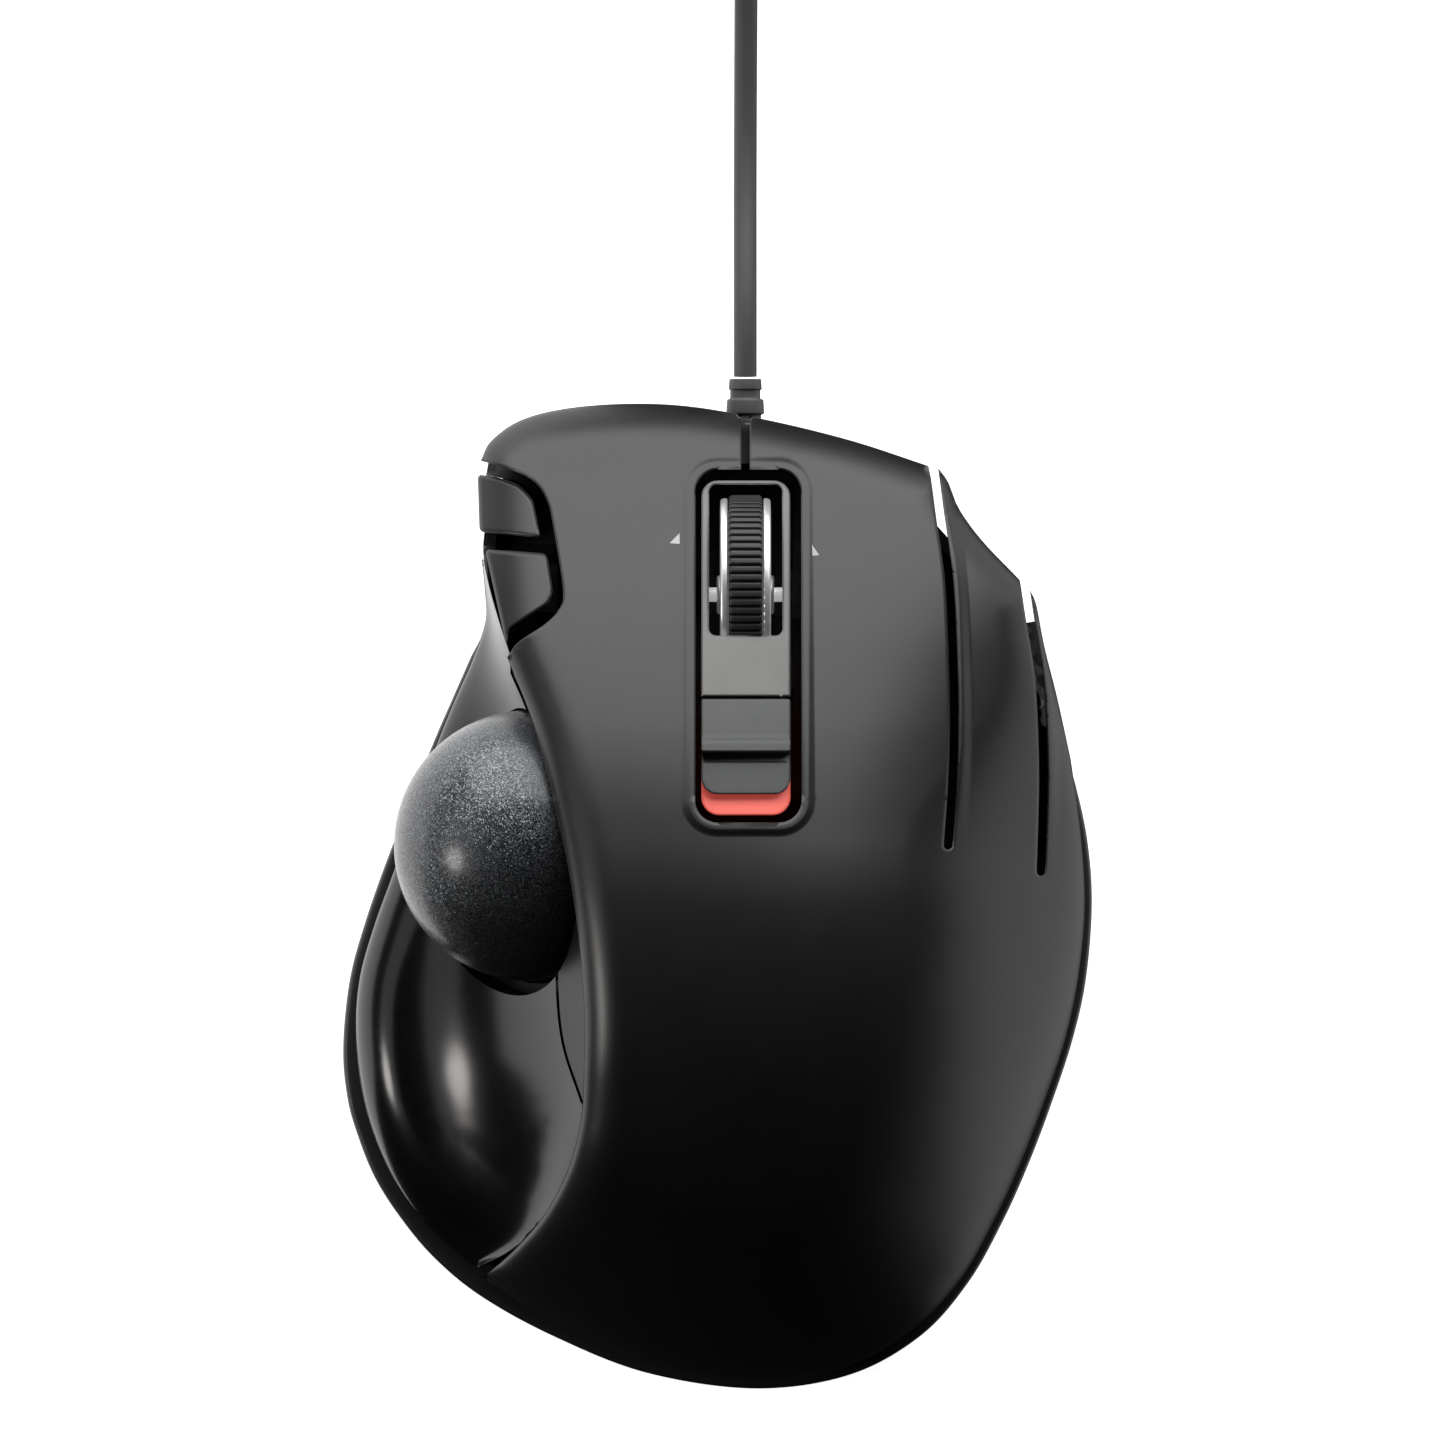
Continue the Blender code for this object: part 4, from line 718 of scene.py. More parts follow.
def split_front():
    """The cover's front edge on either side of the middle slit."""
    line = smooth(COVER_FRONT)
    ends = [MIDDLE_X - SLIT_WIDTH / 2, MIDDLE_X + SLIT_WIDTH / 2]
    edge = np.interp(ends, line[:, 0], line[:, 1])
    left = np.vstack([line[line[:, 0] < ends[0] - 0.2], [ends[0], edge[0]]])
    right = np.vstack([[ends[1], edge[1]], line[line[:, 0] > ends[1] + 0.2]])
    return left, right


def bay_corner(x, y, first):
    """A quarter of a round bay corner, from angle `first` on, in degrees."""
    angles = np.radians(np.linspace(first, first + 90, 12))
    return np.stack([x + BAY_CORNER * np.cos(angles), y + BAY_CORNER * np.sin(angles)], 1)


def straight(start, end, step=FINE):
    """Points from start up to, and without, the end."""
    start, end = np.array(start, float), np.array(end, float)
    count = max(1, round(np.linalg.norm(end - start) / step))
    return start + (end - start) * np.arange(count)[:, None] / count


def bay_side(x, inward, first):
    """The bay's edge on one side, from the hinge line to the end of its front corner."""
    corner = bay_corner(x + inward * BAY_CORNER, BAY_Y[1] - BAY_CORNER, first)
    return np.vstack([straight((x, HINGE_Y), (x, BAY_Y[1] - BAY_CORNER)), corner[::-inward]])


def hinge_line(from_x, to_x):
    """Points along the hinge line at whole steps, so that the skins on both sides share them."""
    low, high = sorted((from_x, to_x))
    inner = np.arange(math.ceil(low * 2 + 0.5), math.floor(high * 2 - 0.5) + 1) / 2
    found = np.column_stack([[low, *inner, high], np.full(len(inner) + 2, HINGE_Y)])
    return found if from_x < to_x else found[::-1]


SEAM_AT_HINGE = float(np.interp(HINGE_Y, SEAM_EDGE[:, 1], SEAM_EDGE[:, 0]))
SLOT_AT_HINGE = float(np.interp(-HINGE_Y, -slot_side(SLOT_1, -1)[:, 1], slot_side(SLOT_1, -1)[:, 0]))
BAY_LEFT, BAY_RIGHT = bay_side(BAY_X[0], 1, 90), bay_side(BAY_X[1], -1, 0)
BAY_REAR = np.vstack([
    bay_corner(BAY_X[0] + BAY_CORNER, BAY_Y[0] + BAY_CORNER, 180),
    bay_corner(BAY_X[1] - BAY_CORNER, BAY_Y[0] + BAY_CORNER, 270),
])
BAY_REAR[0, 1] = BAY_REAR[-1, 1] = HINGE_Y
FRONT_LEFT, FRONT_RIGHT = split_front()
SLIT_LEFT = np.vstack([straight((MIDDLE_X - SLIT_WIDTH / 2, BAY_Y[1]), FRONT_LEFT[-1]), FRONT_LEFT[-1:]])
SLIT_RIGHT = np.vstack([straight((MIDDLE_X + SLIT_WIDTH / 2, BAY_Y[1]), FRONT_RIGHT[0]), FRONT_RIGHT[:1]])
BAY_EDGES = [
    np.vstack([BAY_LEFT, SLIT_LEFT[:1]]), np.vstack([BAY_RIGHT, SLIT_RIGHT[:1]]), BAY_REAR,
]
SLOT_1_RIGHT, SLOT_2_RIGHT = slot_side(SLOT_1, 1), slot_side(SLOT_2, 1)
SLOT_1_LEFT, SLOT_2_LEFT = slot_side(SLOT_1, -1), slot_side(SLOT_2, -1)
SHARP_EDGES = [
    OUTER_EDGE, NOTCH_EDGE, *BAY_EDGES, SLIT_LEFT, SLIT_RIGHT, SLOT_1_RIGHT, SLOT_2_RIGHT,
    SLOT_1_LEFT, SLOT_2_LEFT, slot_end(SLOT_1), slot_end(SLOT_2),
]

# The rolled lips round the wheel bay and along the finger rests: how high, and how far out they reach
EDGE_ROUND = 0.32
BAY_LIP_HEIGHT, BAY_LIP_FALL = 0.36, (0.75, 1.75)
FIN_LIP_WIDTH, FIN_LIP_HEIGHT = 1.9, 0.6


def cover_top(points):
    """The cover's outer surface with its lips and rounded edges."""
    height = np.maximum(cover_height(points), cover_height(points, WALL) + 0.5)
    from_bay = np.min([distance(points, edge) for edge in BAY_EDGES], axis=0)
    height = height + BAY_LIP_HEIGHT * (1 - smoothstep(*BAY_LIP_FALL, from_bay))
    for edge, rear in ((SLOT_1_RIGHT, 4.0), (SLOT_2_RIGHT, 1.0)):
        right = points[:, 0] > np.interp(-points[:, 1], -edge[:, 1], edge[:, 0]) - 0.5 * SLOT_WIDTH
        along = smoothstep(rear, rear + 25, points[:, 1])
        away = distance(points, edge)
        height = height + right * FIN_LIP_HEIGHT * along * (1 - smoothstep(0.4, FIN_LIP_WIDTH, away))
    from_edge = np.min([distance(points, edge) for edge in SHARP_EDGES], axis=0)
    return height - round_over(from_edge, EDGE_ROUND)


def palm_loop():
    """Clockwise from the hinge line at the seam: bay, slots and fins, right side, rear, seam."""
    seam = SEAM_EDGE[SEAM_EDGE[:, 1] < HINGE_Y - 0.3]
    parts = [
        hinge_line(SEAM_AT_HINGE, BAY_X[0])[:-1], BAY_REAR[:-1], hinge_line(BAY_X[1], SLOT_AT_HINGE),
        slot_side(SLOT_1, -1, HINGE_Y - 0.3), slot_end(SLOT_1), SLOT_1_RIGHT[::-1], smooth(FIN_1_FRONT),
        SLOT_2_LEFT, slot_end(SLOT_2), SLOT_2_RIGHT[::-1], smooth(FIN_2_FRONT), smooth(COVER_SIDE)[1:],
        seam[1:],
    ]
    return np.vstack(parts)[::-1]


def left_loop():
    seam = SEAM_EDGE[SEAM_EDGE[:, 1] > HINGE_Y + 0.3]
    parts = [
        hinge_line(BAY_X[0], SEAM_AT_HINGE), seam, NOTCH_EDGE[1:-1], FRONT_LEFT, SLIT_LEFT[::-1][1:],
        BAY_LEFT[::-1][:-1],
    ]
    return np.vstack(parts)[::-1]


def right_loop():
    side = slot_side(SLOT_1, -1, 53.2)
    side = side[side[:, 1] > HINGE_Y + 0.3]
    parts = [
        BAY_RIGHT[1:], SLIT_RIGHT, FRONT_RIGHT[1:], side, hinge_line(SLOT_AT_HINGE, BAY_X[1]),
    ]
    return np.vstack(parts)[::-1]


def lip_points(loop):
    """Points that follow the bay's lip and the finger rests', where they lie on this skin."""
    closed = ring(loop)
    found = [np.zeros((0, 2))]
    for grown in (0.6, 0.75, 0.9, 1.05, 1.2, 1.35, 1.5, 1.65, 1.85):
        low, high = (BAY_X[0] - grown, BAY_Y[0] - grown), (BAY_X[1] + grown, BAY_Y[1] + grown)
        found.append(np.array(filled(rounded(low, high, BAY_CORNER + grown, 14), 0.5)))
    for edge in (SLOT_1_RIGHT, SLOT_2_RIGHT):
        for away in (0.4, 0.7, 1.0, 1.3, 1.6, 1.9, 2.2):
            found.append(np.array(filled(edge + np.array([away, 0.12 * away]), 0.9)))
    found = np.vstack(found)
    found = found[inside(found, loop)]
    return found[distance(found, closed) > 0.3]


def make_cover():
    """The palm cover, and the skins of the two main buttons; on the mouse these bend from its front on a thin
    flexure.
    """
    palm, left, right = [
        sheet(f"{name}_skin", loop, cover_top, cover_inside, COVER, extra=lip_points(loop))
        for name, loop in (("palm", palm_loop()), ("left_button", left_loop()), ("right_button", right_loop()))
    ]
    true_normals(combine(palm, ball_room()), cover_top)
    finished(palm, "case", "cover_skin", "palm_cover")
    true_normals(combine(left, ball_room()), cover_top)
    true_normals(right, cover_top)
    for side, skin in (("left", left), ("right", right)):
        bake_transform(skin)
        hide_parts(f"{side}_button")


# Outlines of dark sheets that stand in for the shade inside the middle slit and the side-button notch
SLIT_SHADE_SHEET = rounded((MIDDLE_X - 2.4, 54.6), (MIDDLE_X + 2.4, 60.2), 0.5)
NOTCH_SHADE_SHEET = [(-29.2, 53.2), (-28.9, 54.9), (-24.0, 53.5), (-21.0, 51.0), (-22.6, 50.4), (-25, 52.4)]
SHADE_SHEET_THICKNESS = 0.8


def make_shade_sheets():
    """Dark sheets under the skin's openings, standing in for the shade inside them: the right slot, the middle
    slit, the side buttons.
    """
    slot = smooth(SLOT_2)
    slot = slot[slot[:, 1] < 35.2]
    loop = np.vstack([moved(slot, -1.2), moved(slot, 0.72)[::-1]])
    for name, outline, drop in (
        ("slot_shade_sheet", loop, 1.6), ("slit_shade_sheet", SLIT_SHADE_SHEET, 1.2), ("notch_shade_sheet", NOTCH_SHADE_SHEET[::-1], 4.8),
    ):
        made = sheet(
            name, filled([tuple(p) for p in outline], 0.8), lambda p, d=drop: cover_inside(p) - d,
            lambda p, d=drop: cover_inside(p) - d - SHADE_SHEET_THICKNESS, INNER, (), 1.0,
        )
        finished(made, "case", "inner_black")


PANEL_EDGE_ROUND = 0.4


def make_thumb_panel():
    """The glossy thumb rest, and the dark walls before and behind the ball."""
    panel_top = eased(panel_outside, PANEL_RIM_EDGE, PANEL_EDGE_ROUND)
    edge = smooth(SURROUND)
    inner = PANEL_INNER_EDGE
    front = inner[inner[:, 1] > edge[0, 1] + 0.4]
    rear = inner[inner[:, 1] < edge[-1, 1] - 0.4]
    loop = np.vstack([PANEL_RIM_EDGE[:-1], rear, edge[::-1], front[:-1]])
    panel = sheet("thumb_panel_skin", loop, panel_top, panel_inside, GLOSS, spacing=0.9)
    true_normals(combine(panel, ball_room(RECESS_EXTRA, RECESS_SHIFT)), panel_top)
    finished(panel, "case", "thumb_panel_gloss", "thumb_panel")
    edge = moved(edge, 0.35)
    band = inner[(inner[:, 1] > edge[-1, 1] + 0.4) & (inner[:, 1] < edge[0, 1] - 0.4)]
    for place, keep in (("front", lambda y: y > 12), ("rear", lambda y: y < 0)):
        loop = np.vstack([edge[keep(edge[:, 1])], band[keep(band[:, 1])]])
        name = f"ball_surround_{place}"
        wall = sheet(f"{name}_skin", loop, panel_outside, panel_inside, SURROUND_BLACK, (0.2,), 0.8)
        true_normals(combine(wall, ball_room(RECESS_EXTRA, RECESS_SHIFT)), panel_outside)
        finished(wall, "case", "inner_black", name)


FORWARD_OUTLINE = [
    (-30.2, 53.3), (-27.3, 52.8), (-24.9, 51.9), (-23.2, 50.0), (-22.2, 45.2), (-29.9, 46.0),
]
BACK_OUTLINE = [
    (-29.2, 43.8), (-21.4, 43.2), (-20.6, 38.4), (-21.3, 36.7), (-26.1, 33.7), (-26.4, 31.6),
]
SIDE_ROUND, SIDE_BUTTON_DEPTH = 0.55, 4.6
FAR_ASIDE = 200  # softened() leaves points at x = 0 sharp, so an outline is moved well clear of that


def rounded_corners(outline, radius, steps=6):
    """A polygon with its corners rounded, turned counter-clockwise."""
    soft = softened([(x + FAR_ASIDE, y) for x, y in outline], radius, steps)
    return [(x - FAR_ASIDE, y) for x, y in soft][::-1]


def make_side_buttons():
    for name, outline, body in (
        ("forward_button", FORWARD_OUTLINE, "front_side_button"),
        ("back_button", BACK_OUTLINE, "rear_side_button"),
    ):
        loop = filled(rounded_corners(outline, 0.7), 0.4)
        top = eased(side_button_height, ring(loop), SIDE_ROUND)
        made = sheet(
            f"{name}_skin", loop, top, lambda p: side_button_height(p) - SIDE_BUTTON_DEPTH, COVER,
            (0.06, 0.18, 0.36, 0.6), 0.7,
        )
        true_normals(made, top)
        finished(made, body, "cover_skin", name)


RIM_WIDTH, FRONT_WALL, FRONT_WALL_TOP, SIDE_WALL_TOP = 4.2, 1.7, 12.0, 14.5


def base_top(points):
    """The base's upper side: a rim, a floor inside it, and a standing wall round the front."""
    x, y = points[:, 0], points[:, 1]
    edge = distance(points, ring(BASE_EDGE))
    rim = RIM_TOP - 0.9 * (1 - np.clip(edge / 0.5, 0, 1)) ** 2
    low = np.where(edge < RIM_WIDTH, rim, FLOOR_TOP)
    under_cover_lip = np.minimum(cover_inside(points) - 1.4, FRONT_WALL_TOP)
    under_button = np.minimum(side_button_height(points) - SIDE_BUTTON_DEPTH - 1.0, SIDE_WALL_TOP)
    wall = np.clip(np.where(x < -24, under_button, under_cover_lip), RIM_TOP, None)
    raised = np.where(x > 0, smoothstep(22, 24, y), smoothstep(43.2, 44.0, y))
    standing = np.where(edge < FRONT_WALL, wall, FLOOR_TOP)
    return low + (standing - low) * raised


SCREW_PLACES = [(-14.0, -44.0), (16.0, -42.0), (-22.0, 33.0), (30.0, 33.0)]
FOOT_PLACES = [
    (-16.0, 52.0, 5.0), (18.0, 48.0, 4.0), (39.0, 2.0, 4.5), (-37.0, -28.0, 4.5), (4.0, -54.0, 5.0),
]
EJECTOR_RADIUS, RECESS_RADIUS, SHANK_RADIUS, CORD_HOLE_RADIUS = 6.0, 2.6, 1.35, 1.9
PLATE = ((-14, -30), (18, -12))


def round_rod(name, centre, axis, radius, half, material=None, segments=48, soft=0.0):
    outline = [(0, -half), (radius, -half), (radius, half), (0, half)]
    return turned(name, softened(outline, soft) if soft else outline, centre, axis, material, segments)


def make_base():
    def bottom(points):
        edge = distance(points, ring(BASE_EDGE))
        return BASE_BOTTOM + 0.6 * (1 - np.clip(edge / 0.8, 0, 1)) ** 2

    base = sheet(
        "base_skin", BASE_EDGE, base_top, bottom, BASE, (0.1, 0.3, 0.55, 1.0, 1.55, 1.85, 4.05, 4.35), 3.0,
    )
    x, y, _ = BALL_CENTRE
    combine(base, round_rod("ejector_hole", (x, y, 2), (0, 0, 1), EJECTOR_RADIUS, 4, segments=64))
    for number, (x, y) in enumerate(SCREW_PLACES, 1):
        combine(base, round_rod(f"screw_recess_{number}", (x, y, 0.92), (0, 0, 1), RECESS_RADIUS, 2))
        combine(base, round_rod(f"screw_hole_{number}", (x, y, 2), (0, 0, 1), SHANK_RADIUS, 4))
    combine(base, round_rod("cord_hole", (MIDDLE_X, 57.5, CORD_EXIT[2]), (0, 1, 0), CORD_HOLE_RADIUS, 3.0))
    base.data.set_sharp_from_angle(angle=math.radians(40))
    finished(base, "case", "base_plastic", "base_case")
    for number, (x, y, radius) in enumerate(FOOT_PLACES, 1):
        pad = round_rod(f"glide_{number}", (x, y, 0.4), (0, 0, 1), radius, 0.4, FOOT, 64, 0.25)
        finished(pad, "case", "foot_pad", f"foot_{number}")
    plate = bevelled(prism("blank_plate", rounded(*PLATE, 2.0), 0.55, 0.8, FOOT), 0.08, 2)
    finished(plate, "case", "foot_pad", "rating_plate")


# ---- ball


def make_ball():
    ball = sphere("flaked_ball", BALL_RADIUS, BALL_CENTRE, BALL, 96)
    finished(ball, "trackball", "ball_resin", "trackball")


# ---- wheel bay

WINDOW_REAR, WINDOW_CORNER = 32.9, 0.9


def window_outline(grown=0.0):
    low = (WINDOW_X[0] - grown, WINDOW_REAR - grown)
    return rounded(low, (WINDOW_X[1] + grown, WINDOW_FRONT + grown), WINDOW_CORNER + grown)


def make_bezel():
    outline = rounded((STRIP_X[0], BEZEL_Y[0] - 4), (STRIP_X[1], BEZEL_Y[1]), 2.0)
    corner = [(x, max(y, BEZEL_Y[0])) for x, y in outline]
    loop = [corner[0]]
    for point in corner[1:]:
        if math.dist(point, loop[-1]) > 0.05:
            loop.append(point)
    loop = filled(loop, 0.35)
    window = filled(window_outline(), 0.3)
    edges = [ring(loop), ring(window)]

    def top(points):
        away = np.min([distance(points, edge) for edge in edges], axis=0)
        return crown(points) - 0.5 - round_over(away, 0.3)

    extra = []
    for shift in (0.0, 0.08, 0.2, 0.36):
        extra += [tuple(p) for p in filled(window_outline(shift), 0.35)]
    extra = [p for p in extra if p[1] < BEZEL_Y[1] - 0.05]
    bezel = sheet("bezel_skin", loop, top, lambda p: crown(p) - 2.2, BEZEL, (0.06, 0.16, 0.3), 0.6, extra)
    combine(bezel, prism("window", window_outline(), 5, 60))
    true_normals(bezel, top)
    finished(bezel, "case", "bezel_grey", "wheel_bezel")


def slider_outline(low, high, radius):
    """The slider strip's outline, with round corners at its rear only."""
    found = [(STRIP_X[1], high), (STRIP_X[0], high)]
    for quarter, x in ((2, STRIP_X[0] + radius), (3, STRIP_X[1] - radius)):
        found += quarter_arc(x, low + radius, radius, quarter)
    return found


RIDGE_FRONT, RIDGE_REAR, GROOVE_REAR = 20.3, 18.3, 17.1
MARKER_Y, STRIP_ROUND = (10.5, 24.0), 0.25


def slider_height(points):
    """The slider's top: a flat pad, a raised bar with a lit front edge, a groove, and a lower pad."""
    y = points[:, 1]
    before_groove = smoothstep(RIDGE_REAR - 0.1, RIDGE_REAR + 0.1, y)
    before_rear = smoothstep(GROOVE_REAR - 0.1, GROOVE_REAR + 0.1, y)
    step = 0.5 * smoothstep(RIDGE_FRONT + 0.15, RIDGE_FRONT - 0.1, y)
    bar = 0.35 * smoothstep(19.75, 19.45, y) * smoothstep(RIDGE_REAR - 0.05, RIDGE_REAR + 0.2, y)
    groove = -1.0 * smoothstep(RIDGE_REAR + 0.1, RIDGE_REAR - 0.1, y) * before_rear
    rear = -0.55 * smoothstep(GROOVE_REAR + 0.1, GROOVE_REAR - 0.1, y)
    return crown(points) - 0.75 + step * before_groove + bar + groove + rear


def make_slider():
    loop = filled(slider_outline(*SLIDER_Y, 2.0), 0.3)
    top = eased(slider_height, ring(loop), STRIP_ROUND)
    slider = sheet("slider_skin", loop, top, lambda p: crown(p) - 2.0, SLIDER, (0.05, 0.13, 0.25), 0.22)
    true_normals(slider, top, 0.01)
    finished(slider, "slider", "slider_grey", "speed_slider")
    plate = filled(slider_outline(*MARKER_Y, 2.2), 0.4)
    plate_top = eased(lambda p: crown(p) - 2.5, ring(plate), STRIP_ROUND)
    marker = sheet("marker_skin", plate, plate_top, lambda p: crown(p) - 3.6, CORAL, (0.05, 0.13, 0.25), 0.8)
    true_normals(marker, plate_top)
    finished(marker, "case", "marker_coral", "speed_marker")


RIBS, RIB_DEPTH = 74, 0.5
AXLE_RADIUS, AXLE_HALF = 0.9, 5.35


def mirrored(half):
    """A whole outline from its left half."""
    return half + [(radius, -along) for radius, along in reversed(half)]


def make_wheel():
    outline = mirrored([(10.6, -2.1), (11.9, -2.1), (12.2, -2.05), (12.4, -1.9), (12.5, -1.7)])

    def ribbed(index, radius, angle):
        share = (angle * RIBS / (2 * math.pi)) % 1.0
        groove = RIB_DEPTH * (1 - smoothstep(0.0, 0.24, abs(share - 0.5)))
        return radius - (groove if 1 <= index <= 8 else 0)

    tyre = turned("ribbed_tyre", outline, WHEEL_CENTRE, (1, 0, 0), TYRE, RIBS * 10, ribbed)
    finished(tyre, "scroll_wheel", "wheel_rubber", "scroll_tyre")
    hub = mirrored([
        (1.05, -3.6), (2.4, -3.6), (2.6, -1.4), (9.6, -1.4), (10.2, -3.2), (12.0, -3.15), (12.15, -2.25),
        (10.4, -2.2),
    ])
    made = turned("rimmed_hub", softened(hub, 0.35), WHEEL_CENTRE, (1, 0, 0), CHROME, 144)
    finished(made, "scroll_wheel", "wheel_chrome", "scroll_hub")
    axle = round_rod("plain_axle", WHEEL_CENTRE, (1, 0, 0), AXLE_RADIUS, AXLE_HALF, AXLE, 48, 0.15)
    finished(axle, "scroll_wheel", "steel", "scroll_axle")


# ---- marks

MARK_HALF = 0.03


def make_marks():
    """Thin printed triangles beside the wheel, one on each main button."""
    for side, corners in (
        ("left", [(-4.75, 45.75), (-6.0, 44.5), (-4.75, 44.4)]),
        ("right", [(11.85, 44.35), (11.9, 42.95), (12.75, 43.0)]),
    ):
        made = sheet(
            f"tilt_mark_{side}", filled(corners, 0.25), lambda p: cover_top(p) + MARK_HALF,
            lambda p: cover_top(p) - MARK_HALF, MARK, (), 0.4,
        )
        finished(made, f"{side}_main_button", "slider_grey")


# ---- cord fittings

PLUG_X, PLUG_Z = 26.0, 3.9
PLUG_TIP, GRIP_FACE, GRIP_BACK, GRIP_TAPER = 117.0, 129.3, 157.9, 5.5
TIE_REACH, TIE_HEIGHT, TIE_Y = 5.0, 11.7, (139.0, 143.0)


def plug_bar(name, half_width, half_height, corner, steps, low, high, material=None):
    """A bar along Y with round edges, centred on the plug."""
    corners = (PLUG_X - half_width, PLUG_Z - half_height), (PLUG_X + half_width, PLUG_Z + half_height)
    made = prism(name, rounded(*corners, corner, steps), low, high, material)
    made.data.transform(Matrix(((1, 0, 0, 0), (0, 0, 1, 0), (0, 1, 0, 0), (0, 0, 0, 1))))
    made.data.flip_normals()
    return made


def make_grip():
    grip = plug_bar("plug_grip", 7.8, 3.8, 1.6, 6, GRIP_FACE, GRIP_BACK - GRIP_TAPER, BOOT)
    bevelled(grip, 0.7)
    neck = [(0, 3), (2.9, 3), (2.2, -GRIP_TAPER), (0, -GRIP_TAPER)]
    place = (PLUG_X, GRIP_BACK - GRIP_TAPER, PLUG_Z)
    combine(grip, turned("plug_neck", neck, place, (0, -1, 0), None, 48), "UNION")
    for row in range(3):
        for side in (-1, 1):
            place = (PLUG_X, 140.0 + 3.0 * row, PLUG_Z + side * 4.35)
            combine(grip, round_rod(f"grip_groove_{row}_{side}", place, (1, 0, 0), 0.8, 6.0))
    grip.data.set_sharp_from_angle(angle=math.radians(35))
    return grip


def make_sleeve():
    shell = plug_bar("plug_sleeve", 6, 2.25, 0.5, 4, PLUG_TIP, GRIP_FACE - 0.3, STEEL)
    combine(shell, plug_bar("sleeve_space", 5.7, 1.95, 0.3, 4, PLUG_TIP - 1, GRIP_FACE - 1.2))
    for side in (-1, 1):
        low, high = (PLUG_X + side * 3 - 1, 121.0), (PLUG_X + side * 3 + 1, 123.4)
        combine(shell, prism(f"sleeve_window_{side}", rounded(low, high, 0.2, 3), -1, 9))
    return shell


def make_blade():
    """The plug's inner blade, and its four contacts."""
    low, high = (PLUG_X - 5.3, PLUG_TIP + 0.6), (PLUG_X + 5.3, GRIP_FACE - 1.6)
    blade = prism("plug_blade", rounded(low, high, 0.2, 3), PLUG_Z - 1.6, PLUG_Z + 0.2, WHITE)
    bevelled(blade, 0.12, 2)
    contacts = []
    for k in range(4):
        at = PLUG_X + (k - 1.5) * 2.2
        outline = rounded((at - 0.5, PLUG_TIP + 1.4), (at + 0.5, PLUG_TIP + 8.5), 0.2, 3)
        contacts.append(prism(f"plug_contact_{k + 1}", outline, PLUG_Z + 0.18, PLUG_Z + 0.26, GOLD))
    return blade, contacts


def make_tie():
    middle = COIL_CENTRE[0] - COIL_MIDDLE
    low, high = middle - TIE_REACH - 0.7, middle + TIE_REACH + 0.9
    tie = prism("band_tie", rounded((low, TIE_Y[0]), (high, TIE_Y[1]), 0.5, 4), 0.0, TIE_HEIGHT + 1.3, BOOT)
    low, high = middle - TIE_REACH + 0.1, middle + TIE_REACH + 0.1
    space = [(low, TIE_Y[0] - 3), (high, TIE_Y[0] - 3), (high, TIE_Y[1] + 3), (low, TIE_Y[1] + 3)]
    combine(tie, prism("tie_space", space, -0.5, TIE_HEIGHT + 0.5))
    return bevelled(tie, 0.25)


def make_fittings():
    """The ribbed boot, the plug with its contacts, and the tie round the coil."""
    outline = [
        (1.75, 0.0), (3.0, 0.0), (3.0, 0.9), (2.0, 1.1), (2.0, 2.0), (2.4, 2.1), (2.3, 3.9), (1.9, 4.0),
        (1.9, 5.1), (2.1, 5.2), (2.0, 6.5), (1.75, 6.5),
    ]
    boot = turned("ribbed_boot", softened(outline, 0.3), (MIDDLE_X, 58.9, CORD_EXIT[2]), (0, 1, 0), BOOT, 64)
    finished(boot, "case", "boot_rubber", "strain_relief")
    grip, shell = make_grip(), make_sleeve()
    blade, contacts = make_blade()
    for contact in contacts:
        finished(contact, "case", "steel")
    finished(grip, "case", "boot_rubber", "plug_body")
    finished(shell, "case", "steel", "plug_shell")
    finished(blade, "case", "mechanism_white", "plug_tongue")
    tie = finished(make_tie(), "case", "cord_jacket", "cord_tie")
    return [boot, grip, shell, blade, tie, *contacts]


# ---- carried-over pieces

SWITCHES = ("left", "right", "forward", "back", "middle")
INNER_FINISHES = [
    (MECHANISM, ["wheel_cradle", "wheel_frame"]),
    (WHITE, ["cord_connector", *[f"{name}_plunger" for name in SWITCHES]]),
    (SWITCH, [f"{name}_switch" for name in SWITCHES]),
    (SWITCH, ["tilt_switch_left", "tilt_switch_right", "controller_chip", "ball_sensor"]),
    (BOARD, ["main_board", "side_board", "sensor_board", "scroll_encoder"]),
    (RUBY, [f"support_bearing_{number}" for number in (1, 2, 3)]),
    (BLACKENED, [f"screw_{number}" for number in (1, 2, 3, 4)]),
    (LENS_CLEAR, ["sensor_lens"]),
    (INNER, ["ball_cup"]),
]


def finish_inner_pieces():
    for material, nodes in INNER_FINISHES:
        for node in nodes:
            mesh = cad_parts[node].data
            mesh.materials.clear()
            mesh.materials.append(material)


# ---- stage


def area_light(name, place, target, size, radiance, colour=(1, 1, 1), round_shape=False):
    """A soft box of the given radiance, facing its target."""
    light = bpy.data.lights.new(name, "AREA")
    light.shape = "ELLIPSE" if round_shape else "RECTANGLE"
    light.size, light.size_y = size
    light.energy = radiance * math.pi * size[0] * size[1] * (math.pi / 4 if round_shape else 1)
    light.color = colour
    made = linked(name, light)
    made.location = place
    made.rotation_euler = (Vector(target) - Vector(place)).to_track_quat("-Z", "Y").to_euler()


FLOOR_REACH, FLOOR_Z = 3.0, -5e-5  # metres


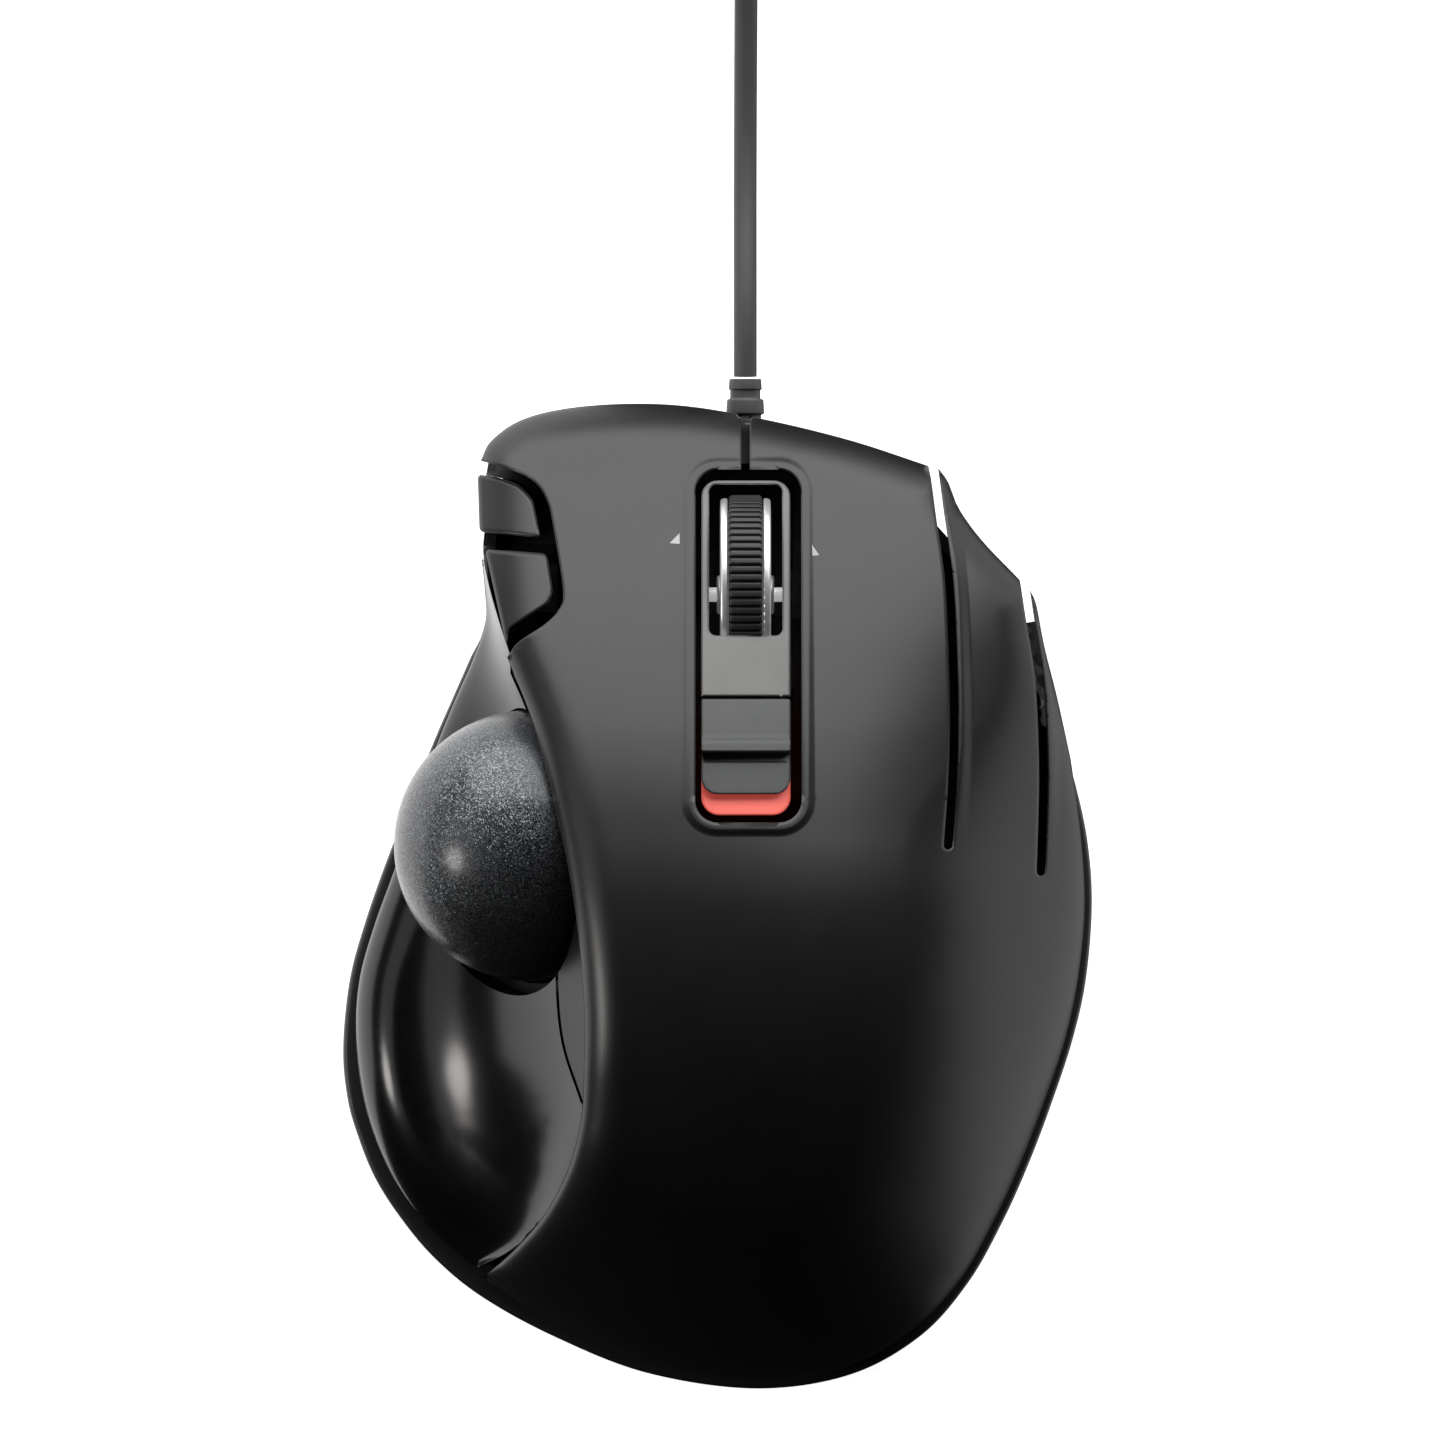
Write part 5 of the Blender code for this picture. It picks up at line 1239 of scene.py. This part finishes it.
def make_floor():
    """A white floor, which the mouse itself neither mirrors nor is lit by."""
    corners = [(x * FLOOR_REACH, y * FLOOR_REACH, FLOOR_Z) for x, y in ((-1, -1), (1, -1), (1, 1), (-1, 1))]
    mesh = bpy.data.meshes.new("floor")
    mesh.from_pydata(corners, [], [(0, 1, 2, 3)])
    pale = bpy.data.materials.new("floor_white")
    pale.use_nodes = True
    shader = pale.node_tree.nodes["Principled BSDF"]
    for socket, value in (
        ("Base Color", (0.8, 0.8, 0.8, 1)), ("Roughness", 1.0), ("Specular IOR Level", 0.0),
        ("Emission Color", (1, 1, 1, 1)), ("Emission Strength", 0.95),
    ):
        shader.inputs[socket].default_value = value
    mesh.materials.append(pale)
    made = linked("floor", mesh)
    made.visible_diffuse = made.visible_glossy = made.visible_transmission = made.visible_shadow = False


ROOM_DARK, ROOM_PALE = 0.012, 0.9


def make_room():
    """A dark room that shows pale behind the mouse."""
    world = bpy.data.worlds.new("room")
    bpy.context.scene.world = world
    world.use_nodes = True
    tree = world.node_tree
    path, mix = add(tree, "LightPath"), add(tree, "Mix")
    mix.data_type = "RGBA"
    mix.inputs["A"].default_value = (ROOM_DARK, ROOM_DARK, ROOM_DARK, 1)
    mix.inputs["B"].default_value = (ROOM_PALE, ROOM_PALE, ROOM_PALE, 1)
    wire(tree, (path, "Is Camera Ray", mix, "Factor"), (mix, "Result", tree.nodes["Background"], "Color"))


def make_lights():
    """Soft boxes in metres: a bright one before the mouse, dim ones at its sides, and a small round one."""
    area_light("front_box", (0.12, 1.1, 0.44), (0.02, 0.02, 0.03), (2.6, 1.36), 3.6)
    area_light("right_box", (0.52, 0.27, -0.05), (0.5, 0.27, 1.0), (0.78, 0.86), 0.85)
    area_light("left_box", (-0.28, 0.18, -0.05), (-0.26, 0.18, 1.0), (0.49, 0.52), 1.3)
    area_light("left_card", (-1.2, 0.15, 0.72), (0, 0, 0.02), (1.3, 0.7), 0.7)
    area_light("left_lamp", (-1.0, -0.17, 0.43), (-0.02, 0, 0.02), (0.3, 0.3), 11, (1, 0.97, 0.93), True)
    bpy.context.scene.view_settings.view_transform = "Standard"


make_floor()
make_room()
make_lights()
cord = make_cord()
fittings = make_fittings()
make_cover()
make_shade_sheets()
make_thumb_panel()
make_side_buttons()
make_base()
make_ball()
make_bezel()
make_slider()
make_wheel()
make_marks()
finish_inner_pieces()
